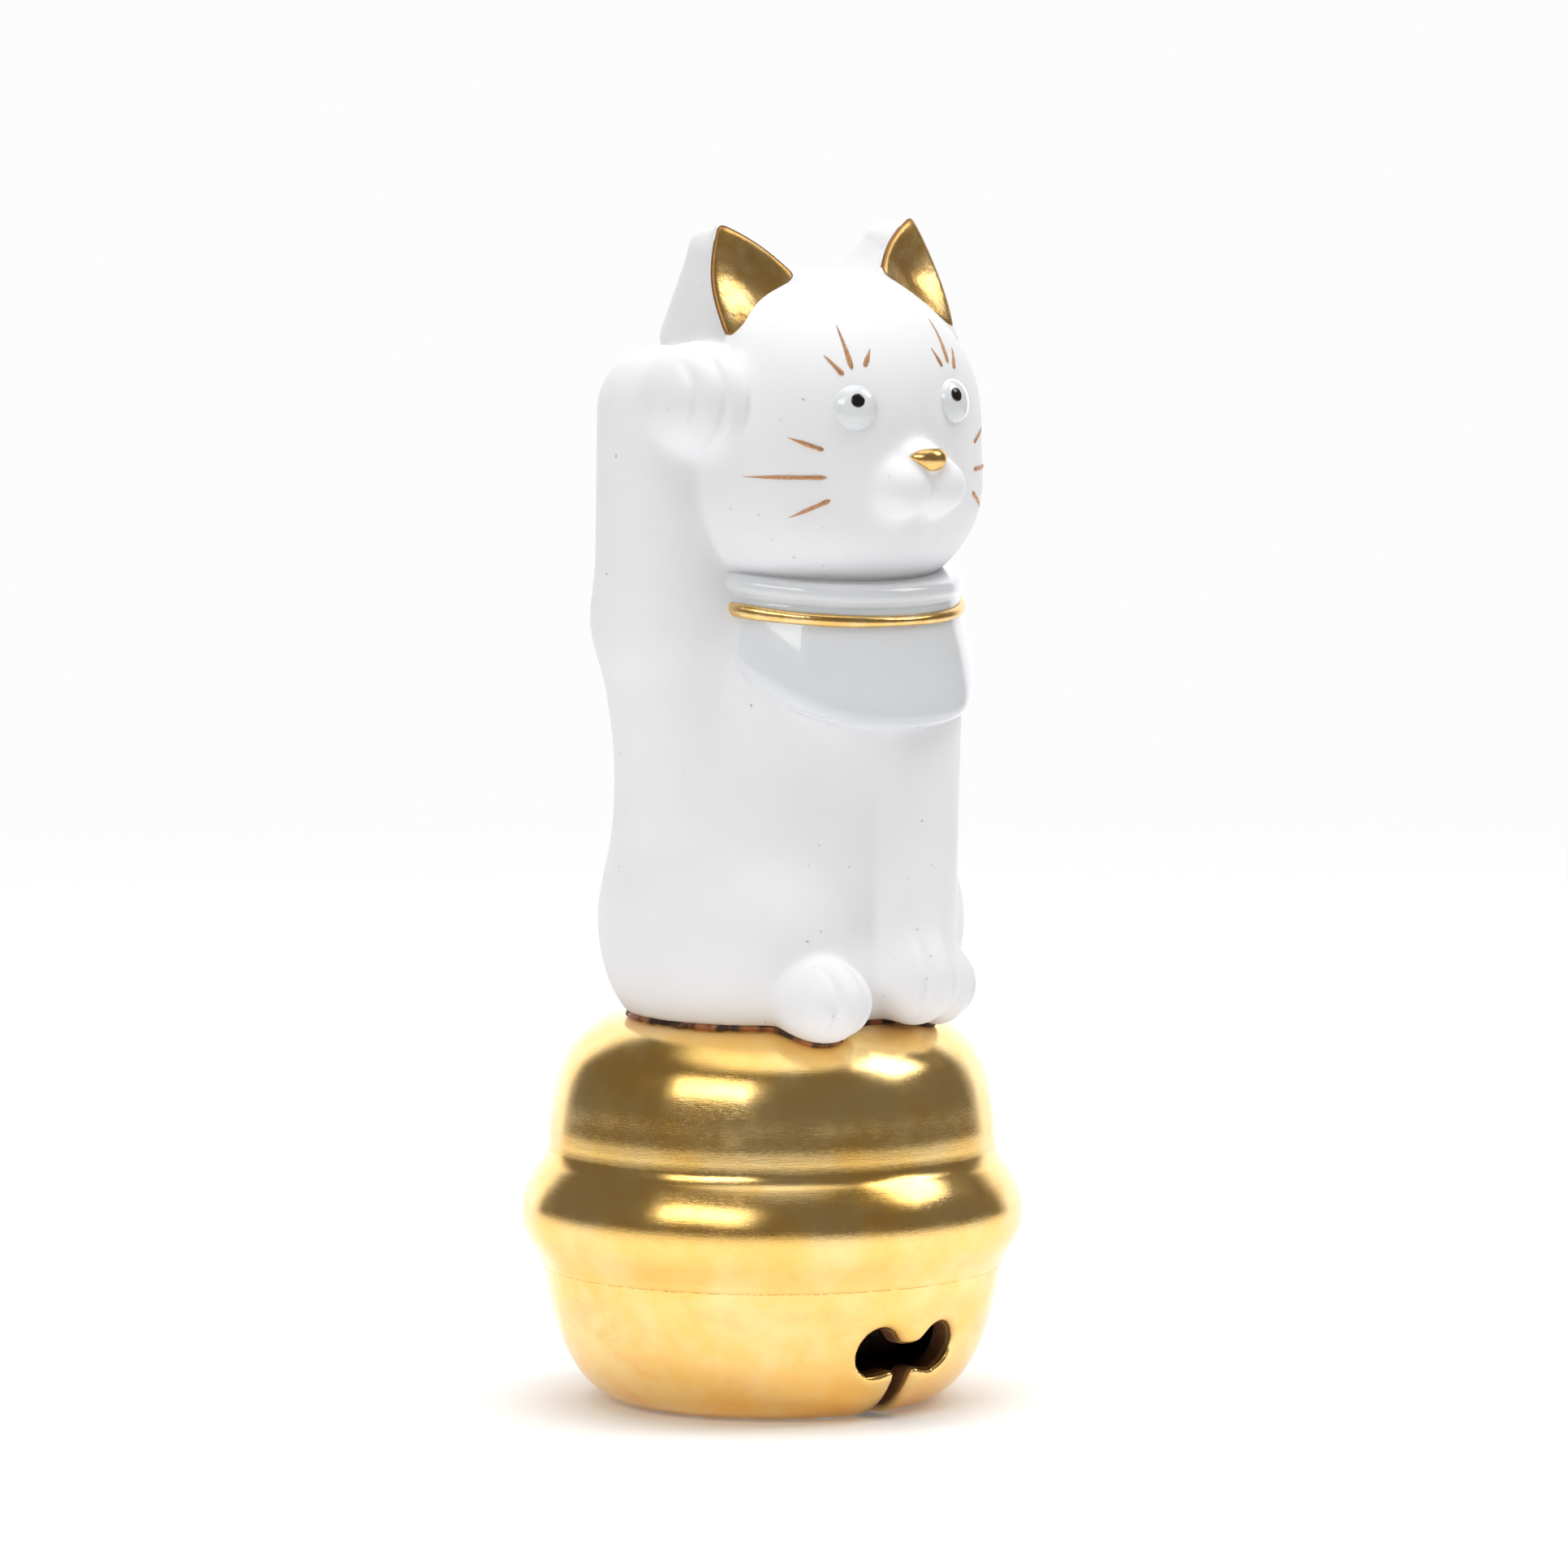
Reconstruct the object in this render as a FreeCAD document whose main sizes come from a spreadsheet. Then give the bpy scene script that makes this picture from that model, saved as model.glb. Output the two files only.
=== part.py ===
import FreeCAD, Part

# Beckoning cat figurine: a bisque porcelain cat sitting on a gilt porcelain bell that holds a
# loose pellet.  Millimetres.  +Z is up, the cat faces -Y, and its right side, with the raised
# paw, is towards -X.  The origin is the centre of the bell's foot, on the surface it stands on.

import math
import os

import Sketcher

V = FreeCAD.Vector
FULL_TURN = 360
SIDES = {"right": -1, "left": 1}

DIMENSIONS = {
    # Bell, lower half: a bowl with a slotted front and back
    "bell_wall": 2.8,
    "foot_inset": 6.0,
    "heel_inset": 1.7,
    "heel_height": 5.9,
    "heel_bulge": 1.0,
    "bowl_radius": 21.5,
    "bowl_height": 13.1,
    "bowl_bulge": 0.15,
    # Bell, upper half: ridge, groove, shoulder and the flat seat of the cat, each from the last
    "ridge_step": 0.7,
    "ridge_rise": 9.7,
    "ridge_bulge": 1.65,
    "groove_step": 1.2,
    "groove_rise": 5.6,
    "groove_bulge": 0.45,
    "shoulder_rise": 8.1,
    "shoulder_bulge": 2.0,
    "shoulder_inset": 7.3,
    # Heart-shaped slot and the slit that runs under the bowl
    "slot_height": 6.7,
    "lobe_spread": 3.6,
    "lobe_radius": 2.15,
    "slot_bar_height": 3.2,
    "slot_bar_drop": 0.6,
    "slit_width": 1.9,
    # Vents that let the air out of each hollow in the kiln
    "vent_radius": 1.5,
    # Loose pellet
    "pellet_radius": 4.0,
    "pellet_wall_gap": 1.2,
    "pellet_clearance": 0.05,
    # Joint between bell and cat
    "lute_thickness": 0.45,
    "lute_margin": 0.9,
    "lute_forward": 2.2,
    # Body
    "cast_wall": 2.6,
    "rump_shift": 0.4,
    "rump_back": 1.0,
    "rump_rise": 12.5,
    "rump_half_width": 14.6,
    "rump_half_depth": 14.2,
    "rump_half_height": 22.0,
    "chest_shift": 2.6,
    "chest_forward": 3.6,
    "chest_rise": 31.5,
    "chest_half_width": 12.6,
    "chest_half_depth": 12.2,
    "chest_half_height": 17.0,
    "base_radius": 14.0,
    "base_half_height": 6.0,
    "base_rise": 2.6,
    "thigh_rise": 8.6,
    "thigh_half_height": 11.5,
    "right_thigh_out": 6.2,
    "right_thigh_forward": 0.5,
    "right_thigh_half_width": 10.4,
    "right_thigh_half_depth": 14.6,
    "left_thigh_out": 8.0,
    "left_thigh_forward": 2.0,
    "left_thigh_half_width": 8.2,
    "left_thigh_half_depth": 13.0,
    "neck_cut": 7.6,
    # Resting foreleg and the two hind feet
    "elbow_shift": 7.2,
    "elbow_sink": 6.0,
    "elbow_below_chest": 1.0,
    "elbow_radius": 5.2,
    "wrist_shift": 5.8,
    "forepaw_inset": 1.0,
    "forepaw_reach": 1.0,
    "wrist_sink": 0.2,
    "wrist_rise": 7.5,
    "wrist_radius": 3.9,
    "forepaw_half_width": 4.1,
    "forepaw_half_depth": 4.8,
    "forepaw_half_height": 4.6,
    "forepaw_rise": 4.3,
    "hind_foot_rise": 2.9,
    "right_foot_out": 5.8,
    "right_foot_sink": 0.5,
    "right_foot_half_width": 4.3,
    "right_foot_half_depth": 5.6,
    "right_foot_half_height": 4.0,
    "left_foot_out": 8.8,
    "left_foot_sink": 2.2,
    "left_foot_half_width": 3.6,
    "left_foot_half_depth": 5.4,
    "left_foot_half_height": 4.1,
    # Bobtail on the back
    "tail_rise": 9.0,
    "tail_sink": 1.2,
    "tail_half_width": 4.2,
    "tail_half_depth": 3.4,
    "tail_half_height": 4.2,
    # Raised arm: circles from shoulder to wrist, and the bent paw
    "arm_out": 1.8,
    "arm_back": 1.1,
    "arm_lean": 2.2,
    "shoulder_low_drop": 19.4,
    "shoulder_low_radius": 6.0,
    "upper_arm_drop": 3.4,
    "upper_arm_radius": 6.8,
    "raised_wrist_above": 16.1,
    "raised_wrist_radius": 6.0,
    "raised_paw_rise": 1.0,
    "raised_paw_forward": 4.7,
    "raised_paw_half_width": 5.7,
    "raised_paw_half_depth": 6.5,
    "raised_paw_half_height": 5.5,
    # Head
    "head_shift": 3.0,
    "head_forward": 3.6,
    "head_sink": 1.2,
    "skull_half_width": 15.4,
    "skull_half_depth": 14.2,
    "skull_half_height": 14.0,
    "cheek_drop": 5.4,
    "cheek_half_width": 15.4,
    "cheek_half_depth": 14.0,
    "cheek_half_height": 10.6,
    "muzzle_drop": 5.6,
    "muzzle_sink": 0.8,
    "muzzle_spread": 2.7,
    "muzzle_half_width": 3.5,
    "muzzle_half_depth": 3.4,
    "muzzle_half_height": 3.1,
    "bridge_drop": 2.3,
    "bridge_sink": 0.4,
    "bridge_half_width": 2.4,
    "bridge_half_depth": 2.6,
    "bridge_half_height": 2.2,
    # Ears: half cones whose flat faces look forwards and a little up and out
    "ear_inset": 7.0,
    "ear_back": 3.0,
    "ear_root_drop": 8.5,
    "ear_root_radius": 7.6,
    "ear_tip_radius": 0.6,
    "ear_length": 13.8,
    "ear_splay": 12.0,
    "ear_face_setback": 3.6,
    # Glazed collar and bib
    "collar_play": 0.7,
    "collar_thickness": 3.4,
    "collar_bulge": 0.35,
    "collar_height": 3.4,
    "collar_tilt": 6.0,
    "collar_drop": 2.0,
    "bib_flare": 2.2,
    "bib_thickness": 2.2,
    "bib_length": 10.2,
    "bib_edge_margin": 1.5,
    "bib_half_width": 15.4,
    "bib_back": 2.0,
    # Gilding and painting
    "gold_line_radius": 0.65,
    "gilding_thickness": 0.18,
    "stroke_width": 0.45,
    "stroke_thickness": 0.12,
    "eye_spread": 5.85,
    "eye_rise": 2.1,
    "eye_radius": 2.1,
    "eye_depth": 1.3,
    "pupil_radius": 0.65,
    "pupil_depth": 0.6,
    "nose_half_width": 1.7,
    "nose_half_height": 0.95,
    "nose_half_depth": 1.2,
    "nose_drop": 2.6,
}

# Brow and whisker strokes on the right half of the face, mirrored to the left: how far across and up
# the skull's half width and half height the inner and the outer end of each stroke lie.
BROW_STROKES = {
    "outer": ((0.43, 0.36), (0.50, 0.49)),
    "middle": ((0.37, 0.39), (0.36, 0.68)),
    "inner": ((0.31, 0.385), (0.24, 0.50)),
}
WHISKER_STROKES = {
    "upper": ((0.565, -0.13), (0.74, -0.05)),
    "middle": ((0.53, -0.315), (0.87, -0.315)),
    "lower": ((0.48, -0.465), (0.63, -0.59)),
}


class Size:
    """A length together with the spreadsheet expression that gives it."""

    def __init__(self, value, text):
        self.value = value
        self.text = text

    def __add__(self, other):
        other = as_size(other)
        return Size(self.value + other.value, f"({self.text} + {other.text})")

    def __sub__(self, other):
        other = as_size(other)
        return Size(self.value - other.value, f"({self.text} - {other.text})")

    def __mul__(self, other):
        other = as_size(other)
        return Size(self.value * other.value, f"({self.text} * {other.text})")

    def __truediv__(self, other):
        other = as_size(other)
        return Size(self.value / other.value, f"({self.text} / {other.text})")

    def __neg__(self):
        return Size(-self.value, f"(0 - {self.text})")

    def __radd__(self, other):
        return as_size(other) + self

    def __rsub__(self, other):
        return as_size(other) - self

    def __rmul__(self, other):
        return as_size(other) * self


def as_size(value):
    """Return a Size for a plain number, or the Size itself."""
    return value if isinstance(value, Size) else Size(float(value), f"{float(value):.6f}")


def root(size):
    """Square root of a Size."""
    return Size(math.sqrt(size.value), f"sqrt({size.text})")


def make_sheet(doc):
    """Write the driving dimensions into a spreadsheet and return them as Sizes."""
    sheet = doc.addObject("Spreadsheet::Sheet", "Dims")
    sizes = {}
    for row, (alias, value) in enumerate(DIMENSIONS.items(), start=1):
        sheet.set(f"A{row}", alias)
        sheet.set(f"B{row}", str(value))
        sheet.setAlias(f"B{row}", alias)
        sizes[alias] = Size(value, f"Dims.{alias}")
    doc.recompute()
    return sizes


# ---------------------------------------------------------------- helpers


def bind(obj, **sizes):
    """Bind properties of an object to Sizes."""
    for name, size in sizes.items():
        setattr(obj, name, as_size(size).value)
        obj.setExpression(name, as_size(size).text)


def place(obj, x=0, y=0, z=0, rotation=None):
    """Put an object at a point given as Sizes, turned by a fixed rotation."""
    at = [as_size(value) for value in (x, y, z)]
    turn = rotation or FreeCAD.Rotation()
    obj.Placement = FreeCAD.Placement(V(*(size.value for size in at)), turn)
    for axis, size in zip("xyz", at):
        obj.setExpression(f"Placement.Base.{axis}", size.text)


def ellipsoid(doc, name, centre, radii, rotation=None):
    """Ellipsoid with its centre and its x, y and z radii given as Sizes."""
    solid = doc.addObject("Part::Ellipsoid", name)
    bind(solid, Radius2=radii[0], Radius3=radii[1], Radius1=radii[2])
    place(solid, *centre, rotation=rotation)
    return solid


def box(doc, name, corner, lengths):
    """Box from its lowest corner and its x, y and z lengths."""
    solid = doc.addObject("Part::Box", name)
    bind(solid, Length=lengths[0], Width=lengths[1], Height=lengths[2])
    place(solid, *corner)
    return solid


def upright_hole(doc, name, x, y, z, radius, height):
    """Cylinder along Z, used to cut a round hole."""
    solid = doc.addObject("Part::Cylinder", name)
    bind(solid, Radius=radius, Height=height)
    place(solid, x, y, z)
    return solid


def fuse(doc, name, *pieces):
    """Join pieces into one solid."""
    joined = doc.addObject("Part::MultiFuse", name)
    joined.Shapes = list(pieces)
    joined.Refine = False
    return joined


def cut(doc, name, base, *tools):
    """Cut one or more tools from a base, one after the other."""
    for index, tool in enumerate(tools):
        last = index == len(tools) - 1
        step = doc.addObject("Part::Cut", name if last else f"{name}_less_{tool.Name}")
        step.Base = base
        step.Tool = tool
        step.Refine = False
        base = step
    return base


def common(doc, name, *pieces):
    """Keep what all the pieces share."""
    shared = doc.addObject("Part::MultiCommon", name)
    shared.Shapes = list(pieces)
    shared.Refine = False
    return shared


def circle_loft(doc, name, sections):
    """Solid through horizontal circles given as (x, y, z, radius)."""
    rings = []
    for number, (x, y, z, radius) in enumerate(sections):
        ring = doc.addObject("Part::Circle", f"{name}_ring_{number}")
        bind(ring, Radius=radius)
        place(ring, x, y, z)
        rings.append(ring)
    solid = doc.addObject("Part::Loft", name)
    solid.Sections = rings
    solid.Solid = True
    solid.Ruled = False
    return solid


def arc_radius(start, end, bulge):
    """Radius of an arc that stands a bulge out of the chord between two points."""
    across, up = end[0] - start[0], end[1] - start[1]
    chord_squared = across * across + up * up
    return chord_squared / (8 * bulge) + bulge / 2


def arc_through(start, end, bulge, hollow):
    """Circle arc from start to end; it bows to the right of that way, or to the left if hollow."""
    first, last = V(start[0].value, start[1].value, 0), V(end[0].value, end[1].value, 0)
    chord = last - first
    right = V(chord.y, -chord.x, 0).normalize()
    middle = (first + last) / 2 + right * (-bulge.value if hollow else bulge.value)
    return Part.Arc(first, middle, last)


def fix_point(sketch, edge, end, x, y):
    """Hold the end of a sketch edge at a place given as Sizes."""
    for size, kind, axis in ((x, "DistanceX", -2), (y, "DistanceY", -1)):
        if size.value == 0:
            sketch.addConstraint(Sketcher.Constraint("PointOnObject", edge, end, axis))
        else:
            rule = Sketcher.Constraint(kind, -1, 1, edge, end, size.value)
            index = sketch.addConstraint(rule)
            sketch.setExpression(f"Constraints[{index}]", size.text)


def outline(sketch, points, arcs):
    """Closed sketch outline through points; arcs maps an edge's number to (bulge, hollow)."""
    count = len(points)
    for number in range(count):
        start, end = points[number], points[(number + 1) % count]
        if number in arcs:
            sketch.addGeometry(arc_through(start, end, *arcs[number]), False)
        else:
            line = Part.LineSegment(V(start[0].value, start[1].value, 0), V(end[0].value, end[1].value, 0))
            sketch.addGeometry(line, False)
    starts, ends = {}, {}
    for number in range(count):
        start = V(points[number][0].value, points[number][1].value, 0)
        near_start = sketch.getPoint(number, 1).distanceToPoint(start) < 1e-6
        starts[number], ends[number] = (1, 2) if near_start else (2, 1)
    for number, (x, y) in enumerate(points):
        before = (number - 1) % count
        join = Sketcher.Constraint("Coincident", before, ends[before], number, starts[number])
        sketch.addConstraint(join)
        fix_point(sketch, number, starts[number], x, y)
    for number, (bulge, _) in arcs.items():
        radius = arc_radius(points[number], points[(number + 1) % count], bulge)
        index = sketch.addConstraint(Sketcher.Constraint("Radius", number, radius.value))
        sketch.setExpression(f"Constraints[{index}]", radius.text)


def origin_plane(body, role):
    """The body's own origin plane with a role such as XZ_Plane."""
    return next(item for item in body.Origin.OriginFeatures if item.Role == role)


def origin_axis(body, role):
    """The body's own origin axis with a role such as Z_Axis."""
    return next(item for item in body.Origin.OriginFeatures if item.Role == role)


def turned_body(doc, name, points, arcs):
    """PartDesign body: an outline in the XZ plane turned about Z."""
    body = doc.addObject("PartDesign::Body", name)
    sketch = body.newObject("Sketcher::SketchObject", f"{name}_outline")
    sketch.AttachmentSupport = [(origin_plane(body, "XZ_Plane"), "")]
    sketch.MapMode = "FlatFace"
    outline(sketch, points, arcs)
    turn = body.newObject("PartDesign::Revolution", f"{name}_turn")
    turn.Profile = sketch
    turn.ReferenceAxis = (origin_axis(body, "Z_Axis"), [""])
    turn.Angle = FULL_TURN
    body.Tip = turn
    doc.recompute()
    return body


# ---------------------------------------------------------------- bell


def dome_outline(d, inwards):
    """Points and arcs of the upper half of the bell, from seam to seat, moved inwards by a Size."""
    zero = as_size(0)
    seam, top = d["bowl_height"], seat_height(d) - inwards
    ridge_top = (d["bowl_radius"] + d["ridge_step"] - inwards, seam + d["ridge_rise"])
    groove_top = (ridge_top[0] - d["groove_step"], ridge_top[1] + d["groove_rise"])
    points = [
        (zero, seam),
        (d["bowl_radius"] - inwards, seam),
        ridge_top,
        groove_top,
        (groove_top[0] - d["shoulder_inset"] + inwards / 2, top),
        (zero, top),
    ]
    arcs = {
        1: (d["ridge_bulge"], False),
        2: (d["groove_bulge"], True),
        3: (d["shoulder_bulge"], False),
    }
    return points, arcs


def seat_height(d):
    """Height of the flat on which the cat sits."""
    return d["bowl_height"] + d["ridge_rise"] + d["groove_rise"] + d["shoulder_rise"]


def neck_height(d):
    """Height of the flat joint between the body and the head."""
    return seat_height(d) + d["chest_rise"] + d["chest_half_height"] - d["neck_cut"]


def heel_radius(d):
    """Radius of the bowl where its side turns in towards the foot."""
    return d["bowl_radius"] - d["heel_inset"]


def bell_lower_bowl(doc, d):
    """Lower half of the bell: a bowl with a heart-shaped slot, front and back, and a slit below."""
    zero = as_size(0)
    heel = heel_radius(d)
    foot = heel - d["foot_inset"]
    points = [
        (zero, zero),
        (foot, zero),
        (heel, d["heel_height"]),
        (d["bowl_radius"], d["bowl_height"]),
        (zero, d["bowl_height"]),
    ]
    arcs = {1: (d["heel_bulge"], False), 2: (d["bowl_bulge"], False)}
    bowl = turned_body(doc, "bowl_form", points, arcs)
    wall = d["bell_wall"]
    room = turned_body(doc, "bowl_room", [
        (zero, wall),
        (foot - wall / 2, wall),
        (heel - wall, d["heel_height"] + wall / 2),
        (d["bowl_radius"] - wall, d["bowl_height"]),
        (zero, d["bowl_height"]),
    ], arcs)
    reach = 4 * d["bowl_radius"]
    lobes = []
    for side, sign in SIDES.items():
        lobe = doc.addObject("Part::Cylinder", f"slot_lobe_{side}")
        bind(lobe, Radius=d["lobe_radius"], Height=reach)
        along_y = FreeCAD.Rotation(V(1, 0, 0), 90)
        place(lobe, sign * d["lobe_spread"], reach / 2, d["slot_height"], along_y)
        lobes.append(lobe)
    bar_top = d["slot_height"] - d["slot_bar_drop"] + d["slot_bar_height"] / 2
    bar_foot = bar_top - d["slot_bar_height"]
    bar = box(doc, "slot_bar", (-d["lobe_spread"], -(reach / 2), bar_foot),
              (2 * d["lobe_spread"], reach, d["slot_bar_height"]))
    below = d["bell_wall"]
    slit = box(doc, "slit_blade", (-(d["slit_width"] / 2), -(reach / 2), -below),
               (d["slit_width"], reach, bar_foot + below + d["slot_bar_height"] / 2))
    return cut(doc, "bell_lower_bowl", bowl, room, fuse(doc, "slot_cutter", *lobes, bar, slit))


def bell_upper_dome(doc, d):
    """Upper half of the bell: ridge, groove and shoulder up to the cat's seat, with a vent."""
    dome = turned_body(doc, "dome_form", *dome_outline(d, as_size(0)))
    room = turned_body(doc, "dome_room", *dome_outline(d, d["bell_wall"]))
    seat = seat_height(d)
    wall = d["bell_wall"]
    vent = upright_hole(doc, "dome_vent", 0, 0, seat - 2 * wall, d["vent_radius"], 3 * wall)
    return cut(doc, "bell_upper_dome", dome, room, vent)


def bell_pellet(doc, d):
    """Loose ball inside the bell, lying off to the left on the bowl's flat floor."""
    pellet = doc.addObject("Part::Sphere", "bell_pellet")
    bind(pellet, Radius=d["pellet_radius"])
    offset = heel_radius(d) - d["bell_wall"] - d["pellet_radius"] - d["pellet_wall_gap"]
    place(pellet, offset, 0, d["bell_wall"] + d["pellet_clearance"] + d["pellet_radius"])
    return pellet


def dome_block(doc, d, name, lift):
    """Solid copy of the upper half of the bell, lifted, that shapes what sits on it."""
    block = turned_body(doc, name, *dome_outline(d, as_size(0)))
    place(block, 0, 0, lift)
    return block


def seat_lute(doc, d, dome_solid, lifted_dome):
    """Thin fired joint that follows the top of the dome under the cat."""
    footprint = doc.addObject("Part::Ellipse", "lute_outline")
    half_width = d["base_radius"] - d["lute_margin"]
    bind(footprint, MajorRadius=half_width + d["lute_forward"], MinorRadius=half_width)
    quarter = FreeCAD.Rotation(V(0, 0, 1), 90)
    place(footprint, 0, -d["lute_forward"], seat_height(d) - d["shoulder_rise"], quarter)
    column = doc.addObject("Part::Extrusion", "lute_column")
    column.Base = footprint
    column.DirMode = "Custom"
    column.Dir = V(0, 0, 1)
    column.Solid = True
    bind(column, LengthFwd=2 * d["shoulder_rise"])
    layer = cut(doc, "lute_layer", lifted_dome, dome_solid)
    wall = d["bell_wall"]
    vent = upright_hole(doc, "lute_vent", 0, 0, seat_height(d) - wall, d["vent_radius"], 2 * wall)
    return cut(doc, "seat_lute", common(doc, "lute_patch", layer, column), vent)


# ---------------------------------------------------------------- cat's body


def cat_body_shell(doc, d, lifted_dome):
    """Hollow cast body: rump, chest, thighs and base, cut to the dome and flat at the neck."""
    seat = seat_height(d)
    forms = {
        "rump": (
            (d["rump_shift"], d["rump_back"], seat + d["rump_rise"]),
            (d["rump_half_width"], d["rump_half_depth"], d["rump_half_height"]),
        ),
        "chest": (
            (d["chest_shift"], -d["chest_forward"], seat + d["chest_rise"]),
            (d["chest_half_width"], d["chest_half_depth"], d["chest_half_height"]),
        ),
        "base": (
            (0, 0, seat + d["base_rise"]),
            (d["base_radius"], d["base_radius"], d["base_half_height"]),
        ),
    }
    for side, sign in SIDES.items():
        forms[f"{side}_thigh"] = (
            (sign * d[f"{side}_thigh_out"], -d[f"{side}_thigh_forward"], seat + d["thigh_rise"]),
            (d[f"{side}_thigh_half_width"], d[f"{side}_thigh_half_depth"], d["thigh_half_height"]),
        )
    outer = fuse(doc, "body_form", *(ellipsoid(doc, name, *form) for name, form in forms.items()))
    wall = d["cast_wall"]
    cores = []
    for name in ("rump", "chest"):
        centre, radii = forms[name]
        cores.append(ellipsoid(doc, f"{name}_core", centre, [radius - wall for radius in radii]))
    neck = neck_height(d)
    above_neck = box(doc, "above_neck", (-4 * d["chest_half_width"], -4 * d["chest_half_width"], neck),
                     [8 * d["chest_half_width"]] * 3)
    floor_height = seat + d["lute_thickness"] + wall
    room = box(doc, "body_room", (-4 * d["chest_half_width"], -4 * d["chest_half_width"], floor_height),
               (8 * d["chest_half_width"], 8 * d["chest_half_width"], neck - wall - floor_height))
    core = common(doc, "body_core", fuse(doc, "body_cores", *cores), room)
    vents = fuse(
        doc, "body_vents",
        upright_hole(doc, "base_vent", 0, 0, seat - wall, d["vent_radius"], 3 * wall),
        upright_hole(doc, "neck_vent", d["chest_shift"], -d["chest_forward"], neck - 2 * wall,
                     d["vent_radius"], 3 * wall),
    )
    return cut(doc, "cat_body_shell", outer, lifted_dome, above_neck, core, vents)


def resting_foreleg(doc, d, body_form, lifted_dome):
    """Left foreleg, straight down to a round paw between the hind feet."""
    seat = seat_height(d)
    elbow = seat + d["chest_rise"] - d["elbow_below_chest"]
    elbow_forward = d["chest_forward"] + d["chest_half_depth"] - d["elbow_sink"]
    wrist_forward = d["rump_half_depth"] - d["wrist_sink"]
    limb = circle_loft(doc, "foreleg_limb", [
        (d["elbow_shift"], -elbow_forward, elbow, d["elbow_radius"]),
        (d["wrist_shift"], -wrist_forward, seat + d["wrist_rise"], d["wrist_radius"]),
    ])
    paw_at = (d["wrist_shift"] - d["forepaw_inset"], -(wrist_forward + d["forepaw_reach"]),
              seat + d["forepaw_rise"])
    paw = ellipsoid(doc, "forepaw", paw_at,
                    (d["forepaw_half_width"], d["forepaw_half_depth"], d["forepaw_half_height"]))
    form = fuse(doc, "foreleg_form", limb, paw)
    return cut(doc, "resting_foreleg", form, body_form, lifted_dome)


def hind_foot(doc, d, side, *neighbours):
    """Hind foot under a thigh, trimmed to the pieces it is luted on."""
    forward = d[f"{side}_thigh_forward"] + d[f"{side}_thigh_half_depth"] - d[f"{side}_foot_sink"]
    centre = (SIDES[side] * d[f"{side}_foot_out"], -forward, seat_height(d) + d["hind_foot_rise"])
    radii = [d[f"{side}_foot_half_{way}"] for way in ("width", "depth", "height")]
    form = ellipsoid(doc, f"{side}_foot_form", centre, radii)
    return cut(doc, f"{side}_hind_foot", form, *neighbours)


def tail(doc, d, body_form):
    """Round bobtail lying on the middle of the back."""
    back = d["rump_back"] + d["rump_half_depth"] - d["tail_sink"]
    centre = (d["rump_shift"], back, seat_height(d) + d["tail_rise"])
    radii = (d["tail_half_width"], d["tail_half_depth"], d["tail_half_height"])
    return cut(doc, "tail", ellipsoid(doc, "tail_form", centre, radii), body_form)


def raised_arm(doc, d, body_form, head_form):
    """Right arm raised beside the head, with the paw bent forwards."""
    neck = neck_height(d)
    low, middle = neck - d["shoulder_low_drop"], neck - d["upper_arm_drop"]
    top = neck + d["raised_wrist_above"]
    across = d["chest_shift"] - d["chest_half_width"] - d["arm_out"]
    root_across = across + d["arm_lean"]
    limb = circle_loft(doc, "arm_limb", [
        (root_across, d["arm_back"], low, d["shoulder_low_radius"]),
        (across, d["arm_back"], middle, d["upper_arm_radius"]),
        (across, d["arm_back"], top, d["raised_wrist_radius"]),
    ])
    wrist = ellipsoid(doc, "arm_wrist", (across, d["arm_back"], top), [d["raised_wrist_radius"]] * 3)
    shoulder = ellipsoid(doc, "arm_root", (root_across, d["arm_back"], low), [d["shoulder_low_radius"]] * 3)
    paw_at = (across, d["arm_back"] - d["raised_paw_forward"], top + d["raised_paw_rise"])
    paw = ellipsoid(doc, "raised_paw", paw_at,
                    (d["raised_paw_half_width"], d["raised_paw_half_depth"], d["raised_paw_half_height"]))
    form = fuse(doc, "arm_form", limb, wrist, shoulder, paw)
    return cut(doc, "raised_arm", form, body_form, head_form)


# ---------------------------------------------------------------- head


def head_centre(d):
    """Centre of the skull as (x, y, z) Sizes."""
    height = neck_height(d) + d["cheek_drop"] + d["cheek_half_height"] - d["head_sink"]
    return d["head_shift"], -d["head_forward"], height


def head_forms(doc, d, prefix, grow):
    """Skull and cheek ellipsoids, grown by a Size all round."""
    x, y, z = head_centre(d)
    skull = ellipsoid(doc, f"{prefix}_skull", (x, y, z),
                      [d[f"skull_half_{way}"] + grow for way in ("width", "depth", "height")])
    cheeks = ellipsoid(doc, f"{prefix}_cheeks", (x, y, z - d["cheek_drop"]),
                       [d[f"cheek_half_{way}"] + grow for way in ("width", "depth", "height")])
    return skull, cheeks


def muzzle_forms(doc, d, prefix, grow):
    """Two muzzle lobes and the nose bridge above them, grown by a Size all round."""
    x, y, z = head_centre(d)
    forms = []
    for side, sign in SIDES.items():
        centre = (x + sign * d["muzzle_spread"], y - d["skull_half_depth"] + d["muzzle_sink"],
                  z - d["muzzle_drop"])
        radii = [d[f"muzzle_half_{way}"] + grow for way in ("width", "depth", "height")]
        forms.append(ellipsoid(doc, f"{prefix}_{side}_lobe", centre, radii))
    centre = (x, y - d["skull_half_depth"] + d["bridge_sink"], z - d["bridge_drop"])
    radii = [d[f"bridge_half_{way}"] + grow for way in ("width", "depth", "height")]
    forms.append(ellipsoid(doc, f"{prefix}_bridge", centre, radii))
    return forms


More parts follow.
